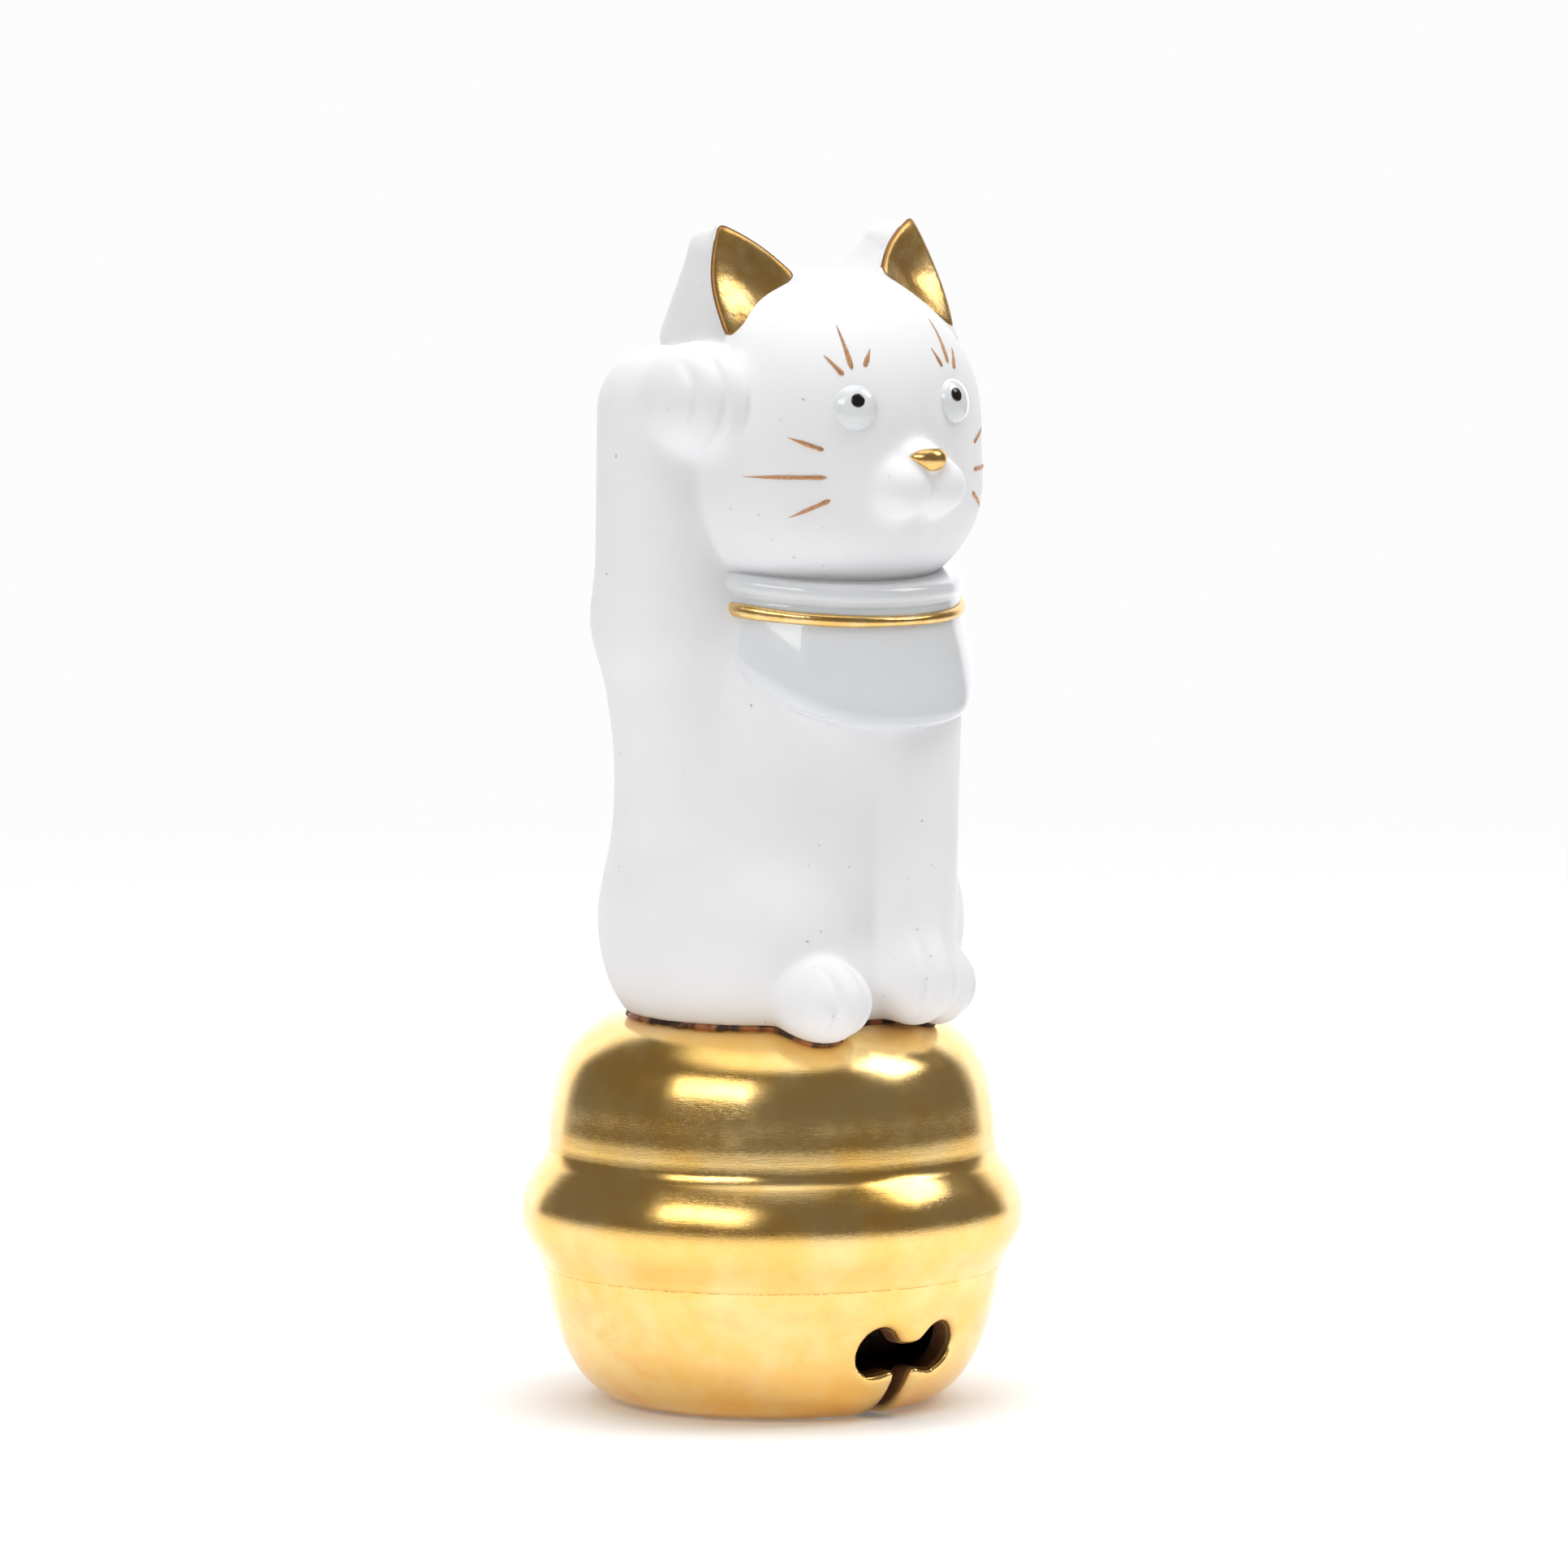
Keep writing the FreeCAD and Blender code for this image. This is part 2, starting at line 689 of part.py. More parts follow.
def cat_head_shell(doc, d):
    """Hollow cast head: skull, cheeks and muzzle, flat where it sits on the neck."""
    neck = neck_height(d)
    x, y, z = head_centre(d)
    reach = 4 * d["skull_half_width"]
    below = box(doc, "below_neck", (x - reach, y - reach, neck - reach), (2 * reach, 2 * reach, reach))
    skull = head_forms(doc, d, "head", as_size(0))
    whole = fuse(doc, "head_whole", *skull, *muzzle_forms(doc, d, "muzzle", as_size(0)))
    form = cut(doc, "head_form", whole, below)
    wall = d["cast_wall"]
    inside = ellipsoid(doc, "head_core", (x, y, z - d["cheek_drop"] / 2),
                       [d[f"skull_half_{way}"] - wall for way in ("width", "depth", "height")])
    floor_cut = box(doc, "head_floor", (x - reach, y - reach, neck + wall), (2 * reach, 2 * reach, reach))
    core = common(doc, "head_room", inside, floor_cut)
    vent = upright_hole(doc, "head_vent", d["chest_shift"], -d["chest_forward"], neck - wall,
                        d["vent_radius"], 4 * wall)
    return cut(doc, "cat_head_shell", form, core, vent)


def ear_turn(side, d):
    """Rotation that splays an ear outwards."""
    return FreeCAD.Rotation(V(0, 1, 0), SIDES[side] * d["ear_splay"].value)


def ear_forms(doc, d, side):
    """Half cone of an ear, and the thin gilded layer on its flat front."""
    x, y, z = head_centre(d)
    out, rise = d["skull_half_width"] - d["ear_inset"], d["skull_half_height"] - d["ear_root_drop"]
    root_at = (x + SIDES[side] * out, y + d["ear_back"], z + rise)
    cone = doc.addObject("Part::Cone", f"{side}_ear_cone")
    bind(cone, Radius1=d["ear_root_radius"], Radius2=d["ear_tip_radius"], Height=d["ear_length"])
    place(cone, *root_at, rotation=ear_turn(side, d))
    lean = math.degrees(math.atan2(d["ear_face_setback"].value, d["ear_length"].value))
    face_turn = ear_turn(side, d).multiply(FreeCAD.Rotation(V(1, 0, 0), -lean))
    slabs = []
    for name, depth in (("front", as_size(0)), ("skin", -d["gilding_thickness"])):
        slab = doc.addObject("Part::Box", f"{side}_ear_{name}")
        size = 3 * d["ear_length"]
        bind(slab, Length=size, Width=size, Height=2 * size)
        corner = face_turn.multVec(V(-size.value / 2, -size.value + depth.value, -size.value))
        at = (root_at[0] + corner.x, root_at[1] - d["ear_face_setback"] + corner.y, root_at[2] + corner.z)
        place(slab, *at, rotation=face_turn)
        slabs.append(slab)
    return cone, slabs[0], slabs[1]


def ear_and_gilding(doc, d, side, *neighbours):
    """Ear luted on the head, and the gilding on its flat face."""
    cone, front, skin = ear_forms(doc, d, side)
    ear = cut(doc, f"{side}_ear", cone, front, *neighbours)
    gilded = common(doc, f"{side}_ear_face", cone, front)
    return ear, cut(doc, f"{side}_ear_gilding", gilded, skin, *neighbours)


# ---------------------------------------------------------------- collar and bib


def tilted(d):
    """Rotation that dips the collar at the front."""
    return FreeCAD.Rotation(V(1, 0, 0), d["collar_tilt"].value)


def neck_ring(doc, d, name, points, arcs, drop):
    """Ring turned about the neck's axis, tilted with the collar."""
    ring = turned_body(doc, name, points, arcs)
    height = neck_height(d) - drop
    place(ring, d["chest_shift"], -d["chest_forward"], height, tilted(d))
    return ring


def collar_radius(d):
    """Outer radius of the collar, where the gold line runs round its lower edge."""
    return d["chest_half_width"] + d["collar_play"]


def neck_collar(doc, d, *neighbours):
    """Stand-up collar between the jaw and the gold line."""
    outer = collar_radius(d)
    inner = outer - d["collar_thickness"]
    zero = as_size(0)
    points = [(inner, zero), (outer, zero), (outer, d["collar_height"]), (inner, d["collar_height"])]
    ring = neck_ring(doc, d, "collar_ring", points, {1: (d["collar_bulge"], False)}, d["collar_drop"])
    return cut(doc, "neck_collar", ring, *neighbours)


def bib_flap(doc, d, *neighbours):
    """Flared bib hanging from the gold line over the chest, with a rounded lower edge."""
    top_radius, low_radius = collar_radius(d), collar_radius(d) + d["bib_flare"]
    points = [
        (top_radius - 2 * d["bib_thickness"], as_size(0)),
        (low_radius - 2 * d["bib_thickness"], -d["bib_length"]),
        (low_radius, -d["bib_length"]),
        (top_radius, as_size(0)),
    ]
    ring = neck_ring(doc, d, "bib_ring", points, {}, d["collar_drop"])
    top = neck_height(d) - d["collar_drop"]
    reach = 3 * d["bib_half_width"]
    edge = doc.addObject("Part::Ellipse", "bib_edge")
    bind(edge, MajorRadius=d["bib_half_width"], MinorRadius=d["bib_length"] + d["bib_edge_margin"])
    upright = FreeCAD.Rotation(V(1, 0, 0), 90)
    place(edge, d["chest_shift"], d["bib_back"] - d["chest_forward"], top, upright)
    prism = doc.addObject("Part::Extrusion", "bib_prism")
    prism.Base = edge
    prism.DirMode = "Custom"
    prism.Dir = V(0, -1, 0)
    prism.Solid = True
    bind(prism, LengthFwd=reach)
    return cut(doc, "bib_flap", common(doc, "bib_form", ring, prism), *neighbours)


def bib_gold_line(doc, d, *neighbours):
    """Thin raised gold line between the collar and the bib."""
    line = doc.addObject("Part::Torus", "gold_ring")
    bind(line, Radius1=collar_radius(d), Radius2=d["gold_line_radius"])
    height = neck_height(d) - d["collar_drop"]
    place(line, d["chest_shift"], -d["chest_forward"], height, tilted(d))
    reach = 3 * d["bib_half_width"]
    front = box(doc, "gold_line_front", (d["chest_shift"] - reach, -reach, height - reach),
                (2 * reach, reach + d["bib_back"] - d["chest_forward"], 2 * reach))
    return cut(doc, "bib_gold_line", common(doc, "gold_arc", line, front), *neighbours)


# ---------------------------------------------------------------- face


def skull_front(d, across, up):
    """Forward reach of the skull's surface from its centre, at a distance across and up."""
    wide, tall = across / d["skull_half_width"], up / d["skull_half_height"]
    return d["skull_half_depth"] * root(1 - wide * wide - tall * tall)


def eye_and_pupil(doc, d, side, head_form):
    """Glazed dome of an eye on the skull, and the painted pupil on the dome."""
    x, y, z = head_centre(d)
    reach = skull_front(d, d["eye_spread"], d["eye_rise"])
    centre = (x + SIDES[side] * d["eye_spread"], y - reach, z + d["eye_rise"])
    dome = ellipsoid(doc, f"{side}_eye_form", centre, (d["eye_radius"], d["eye_depth"], d["eye_radius"]))
    eye = cut(doc, f"{side}_eye", dome, head_form)
    on_dome = (centre[0], centre[1] - d["eye_depth"], centre[2])
    spot = ellipsoid(doc, f"{side}_pupil_form", on_dome,
                     (d["pupil_radius"], d["pupil_depth"], d["pupil_radius"]))
    return eye, cut(doc, f"{side}_pupil", spot, dome)


def nose_gilding(doc, d, head_form):
    """Gilded tip of the nose on the bridge."""
    x, y, z = head_centre(d)
    reach = d["skull_half_depth"] - d["bridge_sink"] + d["bridge_half_depth"]
    centre = (x, y - reach + d["nose_half_depth"] / 2, z - d["nose_drop"])
    tip = ellipsoid(doc, "nose_form", centre,
                    (d["nose_half_width"], d["nose_half_depth"], d["nose_half_height"]))
    return cut(doc, "nose_gilding", tip, head_form)


def stroke_blade(doc, d, name, side, start, end):
    """Upright blade along -Y whose edge on the head is one brush stroke."""
    x, y, z = head_centre(d)
    across = [SIDES[side] * share[0] * d["skull_half_width"] for share in (start, end)]
    up = [share[1] * d["skull_half_height"] for share in (start, end)]
    run = (across[1] - across[0], up[1] - up[0])
    blade = doc.addObject("Part::Box", name)
    length = root(run[0] * run[0] + run[1] * run[1])
    bind(blade, Length=length, Width=2 * d["skull_half_depth"], Height=d["stroke_width"])
    turn = FreeCAD.Rotation(V(0, 1, 0), -math.degrees(math.atan2(run[1].value, run[0].value)))
    half = turn.multVec(V(0, 0, d["stroke_width"].value / 2))
    corner = (x + across[0] - half.x, y - 2 * d["skull_half_depth"], z + up[0] - half.z)
    place(blade, *corner, rotation=turn)
    return blade


def face_strokes(doc, d, side, kind, strokes, head_form):
    """Group of thin gold strokes standing a hair proud of the head."""
    skin = fuse(doc, f"{side}_{kind}_skin", *head_forms(doc, d, f"{side}_{kind}", d["stroke_thickness"]))
    blades = [
        stroke_blade(doc, d, f"{side}_{kind}_{name}", side, *ends) for name, ends in strokes.items()
    ]
    painted = common(doc, f"{side}_{kind}_paint", skin, fuse(doc, f"{side}_{kind}_blades", *blades))
    return cut(doc, f"{side}_{kind}_lines", painted, head_form)


# ---------------------------------------------------------------- assembly


def build(doc):
    """Build every sub-part and return them in a list."""
    d = make_sheet(doc)
    dome_solid = dome_block(doc, d, "dome_solid", as_size(0))
    lifted_dome = dome_block(doc, d, "lifted_dome", d["lute_thickness"])
    parts = [bell_lower_bowl(doc, d), bell_upper_dome(doc, d), bell_pellet(doc, d)]
    parts.append(seat_lute(doc, d, dome_solid, lifted_dome))

    parts += [cat_body_shell(doc, d, lifted_dome), cat_head_shell(doc, d)]
    body_form, head_form = doc.getObject("body_form"), doc.getObject("head_form")
    foreleg = resting_foreleg(doc, d, body_form, lifted_dome)
    feet = [hind_foot(doc, d, side, body_form, lifted_dome, foreleg) for side in SIDES]
    parts += [foreleg, *feet, tail(doc, d, body_form), raised_arm(doc, d, body_form, head_form)]

    cat_forms = (body_form, head_form, doc.getObject("arm_form"))
    collar = neck_collar(doc, d, *cat_forms)
    flap = bib_flap(doc, d, collar, *cat_forms, foreleg)
    parts += [collar, flap, bib_gold_line(doc, d, collar, flap, *cat_forms, foreleg)]

    parts.append(nose_gilding(doc, d, head_form))
    for side in SIDES:
        parts += ear_and_gilding(doc, d, side, *cat_forms[1:])
        parts += eye_and_pupil(doc, d, side, head_form)
        parts.append(face_strokes(doc, d, side, "brow", BROW_STROKES, head_form))
        parts.append(face_strokes(doc, d, side, "whisker", WHISKER_STROKES, head_form))
    doc.recompute()
    return parts


def check(doc, parts):
    """Stop if any object failed or any sub-part's shape is missing or not valid."""
    failed = [item.Name for item in doc.Objects if {"Invalid", "Error"} & set(item.State)]
    if failed:
        raise RuntimeError(f"failed objects: {failed}")
    for part in parts:
        if part.Shape.isNull() or not part.Shape.isValid() or not part.Shape.Solids:
            raise RuntimeError(f"no valid solid in {part.Name}")


def export(parts):
    """Write each sub-part to its own STEP file, named by its label."""
    os.makedirs("parts", exist_ok=True)
    for part in parts:
        part.Label = part.Name
        part.Shape.exportStep(os.path.join("parts", f"{part.Label}.step"))
        box_at = part.Shape.BoundBox
        print(f"{part.Label}: {len(part.Shape.Solids)} solid(s), {part.Shape.Volume:.2f} mm3, "
              f"x {box_at.XMin:.1f}..{box_at.XMax:.1f}, y {box_at.YMin:.1f}..{box_at.YMax:.1f}, "
              f"z {box_at.ZMin:.1f}..{box_at.ZMax:.1f}")


def main():
    """Make the document, build it, check it and export it."""
    doc = FreeCAD.newDocument("beckoning_cat")
    parts = build(doc)
    check(doc, parts)
    export(parts)


main()
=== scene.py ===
"""Looks of a porcelain beckoning cat that sits on a gilt porcelain bell."""
import logging
import math
from dataclasses import dataclass, field
from enum import IntEnum
from typing import Callable, Sequence

import bpy
import numpy as np
from mathutils import Matrix, Vector


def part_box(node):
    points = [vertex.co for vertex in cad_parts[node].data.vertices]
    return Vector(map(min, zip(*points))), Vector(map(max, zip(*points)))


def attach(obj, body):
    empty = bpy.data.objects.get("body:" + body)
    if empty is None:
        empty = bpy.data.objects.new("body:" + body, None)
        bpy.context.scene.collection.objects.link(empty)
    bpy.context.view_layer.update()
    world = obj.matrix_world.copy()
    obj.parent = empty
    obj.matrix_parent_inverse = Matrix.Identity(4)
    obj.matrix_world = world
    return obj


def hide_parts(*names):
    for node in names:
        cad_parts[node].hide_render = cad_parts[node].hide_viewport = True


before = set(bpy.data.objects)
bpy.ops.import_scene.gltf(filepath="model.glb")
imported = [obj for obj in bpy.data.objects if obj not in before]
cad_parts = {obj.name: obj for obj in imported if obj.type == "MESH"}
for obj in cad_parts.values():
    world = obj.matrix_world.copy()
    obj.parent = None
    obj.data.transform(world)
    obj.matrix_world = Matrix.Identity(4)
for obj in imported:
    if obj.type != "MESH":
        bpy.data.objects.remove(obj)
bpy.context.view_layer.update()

LOG = logging.getLogger("beckoning_cat")
MM = 0.001
Array = np.ndarray
Point = tuple[float, float, float]


class Side(IntEnum):
    """The cat's own sides; the value is the sign of x there."""

    RIGHT = -1
    LEFT = 1

    @property
    def label(self) -> str:
        """The side's name as pieces and nodes spell it."""
        return self.name.lower()


PUPIL_OUT = {Side.RIGHT: 6.4, Side.LEFT: 4.85}
EYE_PLACES = {Side.RIGHT: (6.05, -16.4, 2.06), Side.LEFT: (5.42, -16.7, 2.25)}


# ---------------------------------------------------------------- forms


class Form:
    """A closed form, given by how far outside it any point lies (less than nought inside)."""

    def outside(self, at: Array) -> Array:
        """Distance outside the form.

        Args:
            at: points in millimetres, as rows of x, y, z.

        Returns:
            One number a point, in millimetres.
        """
        raise NotImplementedError


@dataclass(frozen=True)
class Egg(Form):
    """An ellipsoid, turned about its own centre."""

    centre: Point
    radii: Point
    turn: Point = (0.0, 0.0, 0.0)

    def outside(self, at: Array) -> Array:
        """The scaled length less one, over the length of its slope, which is near the distance.

        Args:
            at: points as rows.

        Returns:
            One distance a point, in millimetres.
        """
        local = (at - np.array(self.centre)) @ turning(self.turn)
        radii = np.array(self.radii)
        reach = np.sqrt(((local / radii) ** 2).sum(-1))
        slope = np.sqrt(((local / radii**2) ** 2).sum(-1)) + 1e-9
        return reach * (reach - 1) / slope


@dataclass(frozen=True)
class Limb(Form):
    """A straight limb with round ends, thick at one end and thin at the other."""

    start: Point
    end: Point
    start_radius: float
    end_radius: float

    def outside(self, at: Array) -> Array:
        """Distance to the nearest point of the middle line, less the radius there.

        Args:
            at: points as rows.

        Returns:
            One distance a point, in millimetres.
        """
        start, run = np.array(self.start), np.array(self.end) - np.array(self.start)
        share = np.clip(((at - start) @ run) / (run @ run), 0, 1)
        away = np.linalg.norm(at - start - share[..., None] * run, axis=-1)
        return away - (self.start_radius + (self.end_radius - self.start_radius) * share)


@dataclass(frozen=True)
class Flat(Form):
    """Everything behind a plane, which faces along its normal."""

    point: Point
    normal: Point

    def outside(self, at: Array) -> Array:
        """Height above the plane along its normal."""
        normal = np.array(self.normal) / np.linalg.norm(self.normal)
        return (at - np.array(self.point)) @ normal


@dataclass(frozen=True)
class Shaped(Form):
    """A form given by a function of the points, for a shape that is used once."""

    rule: Callable[[Array], Array]

    def outside(self, at: Array) -> Array:
        """The rule's value at the points."""
        return self.rule(at)


@dataclass(frozen=True)
class Joined(Form):
    """Two forms run together with a soft fillet."""

    one: Form
    other: Form
    softness: float

    def outside(self, at: Array) -> Array:
        """The lesser of the two distances, rounded off where they are alike."""
        return soft_least(self.one.outside(at), self.other.outside(at), self.softness)


@dataclass(frozen=True)
class Shared(Form):
    """What two forms have in common, with its edge rounded."""

    one: Form
    other: Form
    softness: float

    def outside(self, at: Array) -> Array:
        """The greater of the two distances, rounded off where they are alike."""
        return -soft_least(-self.one.outside(at), -self.other.outside(at), self.softness)


@dataclass(frozen=True)
class Grooved(Form):
    """A paw with soft upright grooves between its toes."""

    base: Form
    centre: Point
    radii: Point
    spread: tuple
    depth: float = 0.42
    width: float = 0.45

    def outside(self, at: Array) -> Array:
        """The base's distance plus bell curves across the grooves, on the front of the paw only.

        Args:
            at: points as rows.

        Returns:
            One distance a point, in millimetres.
        """
        away = at - np.array(self.centre)
        share = np.linalg.norm(away / np.array(self.radii), axis=-1)
        front = np.clip(-away[..., 1] / self.radii[1] * 2 - 0.5, 0, 1)
        close = np.clip((1.45 - share) / 0.3, 0, 1)
        grooves = sum(np.exp(-(((away[..., 0] - across) / self.width) ** 2)) for across in self.spread)
        return self.base.outside(at) + self.depth * grooves * front * close


@dataclass(frozen=True)
class Carved(Form):
    """A form with a tool pressed out of it."""

    base: Form
    tool: Form
    softness: float

    def outside(self, at: Array) -> Array:
        """The greater of the base's distance and the tool's depth, rounded off where they are alike."""
        return -soft_least(-self.base.outside(at), self.tool.outside(at), self.softness)


def soft_least(one: Array, other: Array, softness: float) -> Array:
    """Lesser of two arrays, less the cube of how nearly alike they are.

    Args:
        one: the first array.
        other: the second array.
        softness: how far apart the two still affect each other.

    Returns:
        The softened lesser values.
    """
    alike = np.maximum(softness - np.abs(one - other), 0) / softness
    return np.minimum(one, other) - alike**3 * softness / 6


def turning(angles: Point) -> Array:
    """Matrix that turns by degrees about x, then y, then z.

    Args:
        angles: the three angles in degrees.

    Returns:
        A 3 by 3 matrix whose columns are the turned axes.
    """
    (cx, sx), (cy, sy), (cz, sz) = ((math.cos(math.radians(a)), math.sin(math.radians(a))) for a in angles)
    about_x = np.array([[1, 0, 0], [0, cx, -sx], [0, sx, cx]])
    about_y = np.array([[cy, 0, sy], [0, 1, 0], [-sy, 0, cy]])
    about_z = np.array([[cz, -sz, 0], [sz, cz, 0], [0, 0, 1]])
    return about_z @ about_y @ about_x


def joined(parts: Sequence[tuple[Form, float]]) -> Form:
    """Forms run together one after the other.

    Args:
        parts: each form with the softness of its joint to what comes before it.

    Returns:
        One form.
    """
    whole = parts[0][0]
    for form, softness in parts[1:]:
        whole = Joined(whole, form, softness)
    return whole


def slope(form: Form, at: Array) -> Array:
    """Gradient of a form's distance, from differences a hundredth of a millimetre either way.

    Args:
        form: the form.
        at: points as rows.

    Returns:
        One gradient a point.
    """
    step = 0.01
    sides = []
    for axis in np.eye(3) * step:
        sides.append((form.outside(at + axis) - form.outside(at - axis)) / (2 * step))
    return np.stack(sides, -1)


def unit(rows: Array) -> Array:
    """Rows scaled to length one."""
    return rows / (np.linalg.norm(rows, axis=-1, keepdims=True) + 1e-12)


def settled(form: Form, at: Array, rounds: int = 4) -> Array:
    """Points moved onto the form's surface by Newton steps along its gradient.

    Args:
        form: the form.
        at: points near its surface.
        rounds: how many steps to take.

    Returns:
        Points on the surface.
    """
    for _ in range(rounds):
        rise = slope(form, at)
        square = (rise**2).sum(-1, keepdims=True) + 1e-6
        at = at - np.clip(form.outside(at)[:, None] / square, -0.3, 0.3) * rise
    return at


def laid(form: Form, at: Array, way: Array, reach: float = 8.0) -> Array:
    """Points slid along a direction onto the form's surface, by bisection of the line.

    Args:
        form: the form.
        at: starting points, as rows.
        way: direction of the slide, one for all or one a point.
        reach: how far before and beyond the points to look.

    Returns:
        Points on the surface.
    """
    way = unit(np.broadcast_to(way, at.shape))
    near = np.full(len(at), -reach)
    steps = 48
    hit = np.zeros(len(at), bool)
    for number in range(1, steps + 1):
        far = -reach + 2 * reach * number / steps
        inside = form.outside(at + way * far) < 0
        fresh = inside & ~hit
        near[fresh] = far - 2 * reach / steps
        hit |= inside
    low, high = near, near + 2 * reach / steps
    for _ in range(20):
        middle = (low + high) / 2
        inside = form.outside(at + way * middle[:, None]) < 0
        high = np.where(inside, middle, high)
        low = np.where(inside, low, middle)
    return at + way * ((low + high) / 2)[:, None]


def skinned(form: Form, low: Sequence[float], high: Sequence[float], step: float) -> tuple[Array, Array]:
    """Skin of a form: one point a cell that the surface crosses, at the middle of its crossings.

    The form's distance is worked out on a cubic lattice. Each lattice edge whose ends lie on
    different sides of the surface gives a crossing point, which is averaged into the four cells
    round the edge, and one face that joins those four cells' points. The points are then settled
    onto the true surface.

    Args:
        form: the form.
        low: lowest corner of the lattice.
        high: highest corner of the lattice.
        step: lattice spacing.

    Returns:
        Points and four-cornered faces that look outwards.
    """
    axes = [np.arange(a, b + step, step) for a, b in zip(low, high)]
    shape = tuple(len(axis) for axis in axes)
    value = np.empty(shape)
    for row, x in enumerate(axes[0]):
        plane = np.stack(np.meshgrid([x], axes[1], axes[2], indexing="ij"), -1).reshape(-1, 3)
        value[row] = form.outside(plane).reshape(shape[1:])
    total = np.zeros(shape + (3,))
    count = np.zeros(shape)
    crossings = []
    for axis in range(3):
        first = [slice(None)] * 3
        second = [slice(None)] * 3
        first[axis], second[axis] = slice(None, -1), slice(1, None)
        start, end = value[tuple(first)], value[tuple(second)]
        across = np.argwhere((start < 0) != (end < 0))
        across = across[(across[:, [a for a in range(3) if a != axis]] > 0).all(1)]
        begin, finish = start[tuple(across.T)], end[tuple(across.T)]
        point = np.stack([axes[a][across[:, a]] for a in range(3)], -1)
        point[:, axis] += step * begin / (begin - finish)
        one, two = [a for a in range(3) if a != axis]
        ring = []
        for back_one, back_two in ((1, 1), (0, 1), (0, 0), (1, 0)):
            cell = across.copy()
            cell[:, one] -= back_one
            cell[:, two] -= back_two
            np.add.at(total, tuple(cell.T), point)
            np.add.at(count, tuple(cell.T), 1)
            ring.append(np.ravel_multi_index(tuple(cell.T), shape))
        ring = np.stack(ring, -1)
        turned = (begin < 0) if axis != 1 else (begin >= 0)
        ring[~turned] = ring[~turned][:, ::-1]
        crossings.append(ring)
    used = np.flatnonzero(count.ravel() > 0)
    points = total.reshape(-1, 3)[used] / count.ravel()[used, None]
    number = np.full(count.size, -1)
    number[used] = np.arange(len(used))
    return settled(form, points), number[np.concatenate(crossings)]


# ---------------------------------------------------------------- meshes


@dataclass
class Piece:
    """A finished surface of the object, ready to become a Blender mesh."""

    name: str
    points: Array
    faces: Array
    finish: "Finish"
    slot: str
    stands_for: tuple[str, ...] = ()
    normals: Array | None = None
    marks: dict[str, Array] = field(default_factory=dict)

    def make(self) -> bpy.types.Object:
        """Put the piece into the scene, riding on the body of the node it stands for.

        Returns:
            The new object, at the origin, with its place in its mesh.
        """
        mesh = bpy.data.meshes.new(self.name)
        mesh.from_pydata((self.points * MM).tolist(), [], self.faces.tolist())
        for name, values in self.marks.items():
            layer = mesh.attributes.new(name, "FLOAT", "POINT")
            layer.data.foreach_set("value", values.astype(np.float32))
        mesh.polygons.foreach_set("use_smooth", np.ones(len(mesh.polygons), bool))
        if self.normals is not None:
            mesh.normals_split_custom_set_from_vertices(self.normals.tolist())
        mesh.materials.append(self.finish.material())
        mesh.validate(clean_customdata=False)
        thing = bpy.data.objects.new(self.name, mesh)
        bpy.context.scene.collection.objects.link(thing)
        body = "pellet" if "bell_pellet" in self.stands_for else "root"
        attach(thing, body)
        if self.stands_for:
            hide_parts(*self.stands_for)
        LOG.info("%s: %d faces, slot %s, for %s", self.name, len(mesh.polygons), self.slot, self.stands_for)
        return thing


def grid_faces(rows: int, columns: int, wraps: bool) -> Array:
    """Faces of a grid of points, rows after rows.

    Args:
        rows: number of rows of points.
        columns: number of points in a row.
        wraps: whether each row closes on itself.

    Returns:
        Four-cornered faces.
    """
    count = columns if wraps else columns - 1
    row, column = np.meshgrid(np.arange(rows - 1), np.arange(count), indexing="ij")
    beside = (column + 1) % columns
    corners = [row * columns + column, row * columns + beside,
               (row + 1) * columns + beside, (row + 1) * columns + column]
    return np.stack(corners, -1).reshape(-1, 4)


# ---------------------------------------------------------------- shader maths


class Signal:
    """A socket of a shader tree that can be used in plain arithmetic."""

    def __init__(self, tree: "Tree", socket: bpy.types.NodeSocket) -> None:
        """Wrap a socket of a tree."""
        self.tree = tree
        self.socket = socket

    def _maths(self, operation: str, *values: "Signal | float") -> "Signal":
        """Add one Math node over the values."""
        return self.tree.node("ShaderNodeMath", {"operation": operation}, dict(enumerate(values)))

    def __add__(self, other: "Signal | float") -> "Signal":
        """Sum."""
        return self._maths("ADD", self, other)

    def __sub__(self, other: "Signal | float") -> "Signal":
        """Difference."""
        return self._maths("SUBTRACT", self, other)

    def __mul__(self, other: "Signal | float") -> "Signal":
        """Product."""
        return self._maths("MULTIPLY", self, other)

    def __truediv__(self, other: "Signal | float") -> "Signal":
        """Quotient."""
        return self._maths("DIVIDE", self, other)

    def __rsub__(self, other: float) -> "Signal":
        """Difference from a number."""
        return self._maths("SUBTRACT", other, self)

    __radd__ = __add__
    __rmul__ = __mul__

    def smooth(self, low: float, high: float) -> "Signal":
        """Nought below low and one above high, with a smooth rise between.

        Args:
            low: where the rise starts.
            high: where it ends.

        Returns:
            The stepped signal.
        """
        return self.tree.node("ShaderNodeMapRange", {"interpolation_type": "SMOOTHSTEP"},
                              {0: self, 1: low, 2: high, 3: 0.0, 4: 1.0})


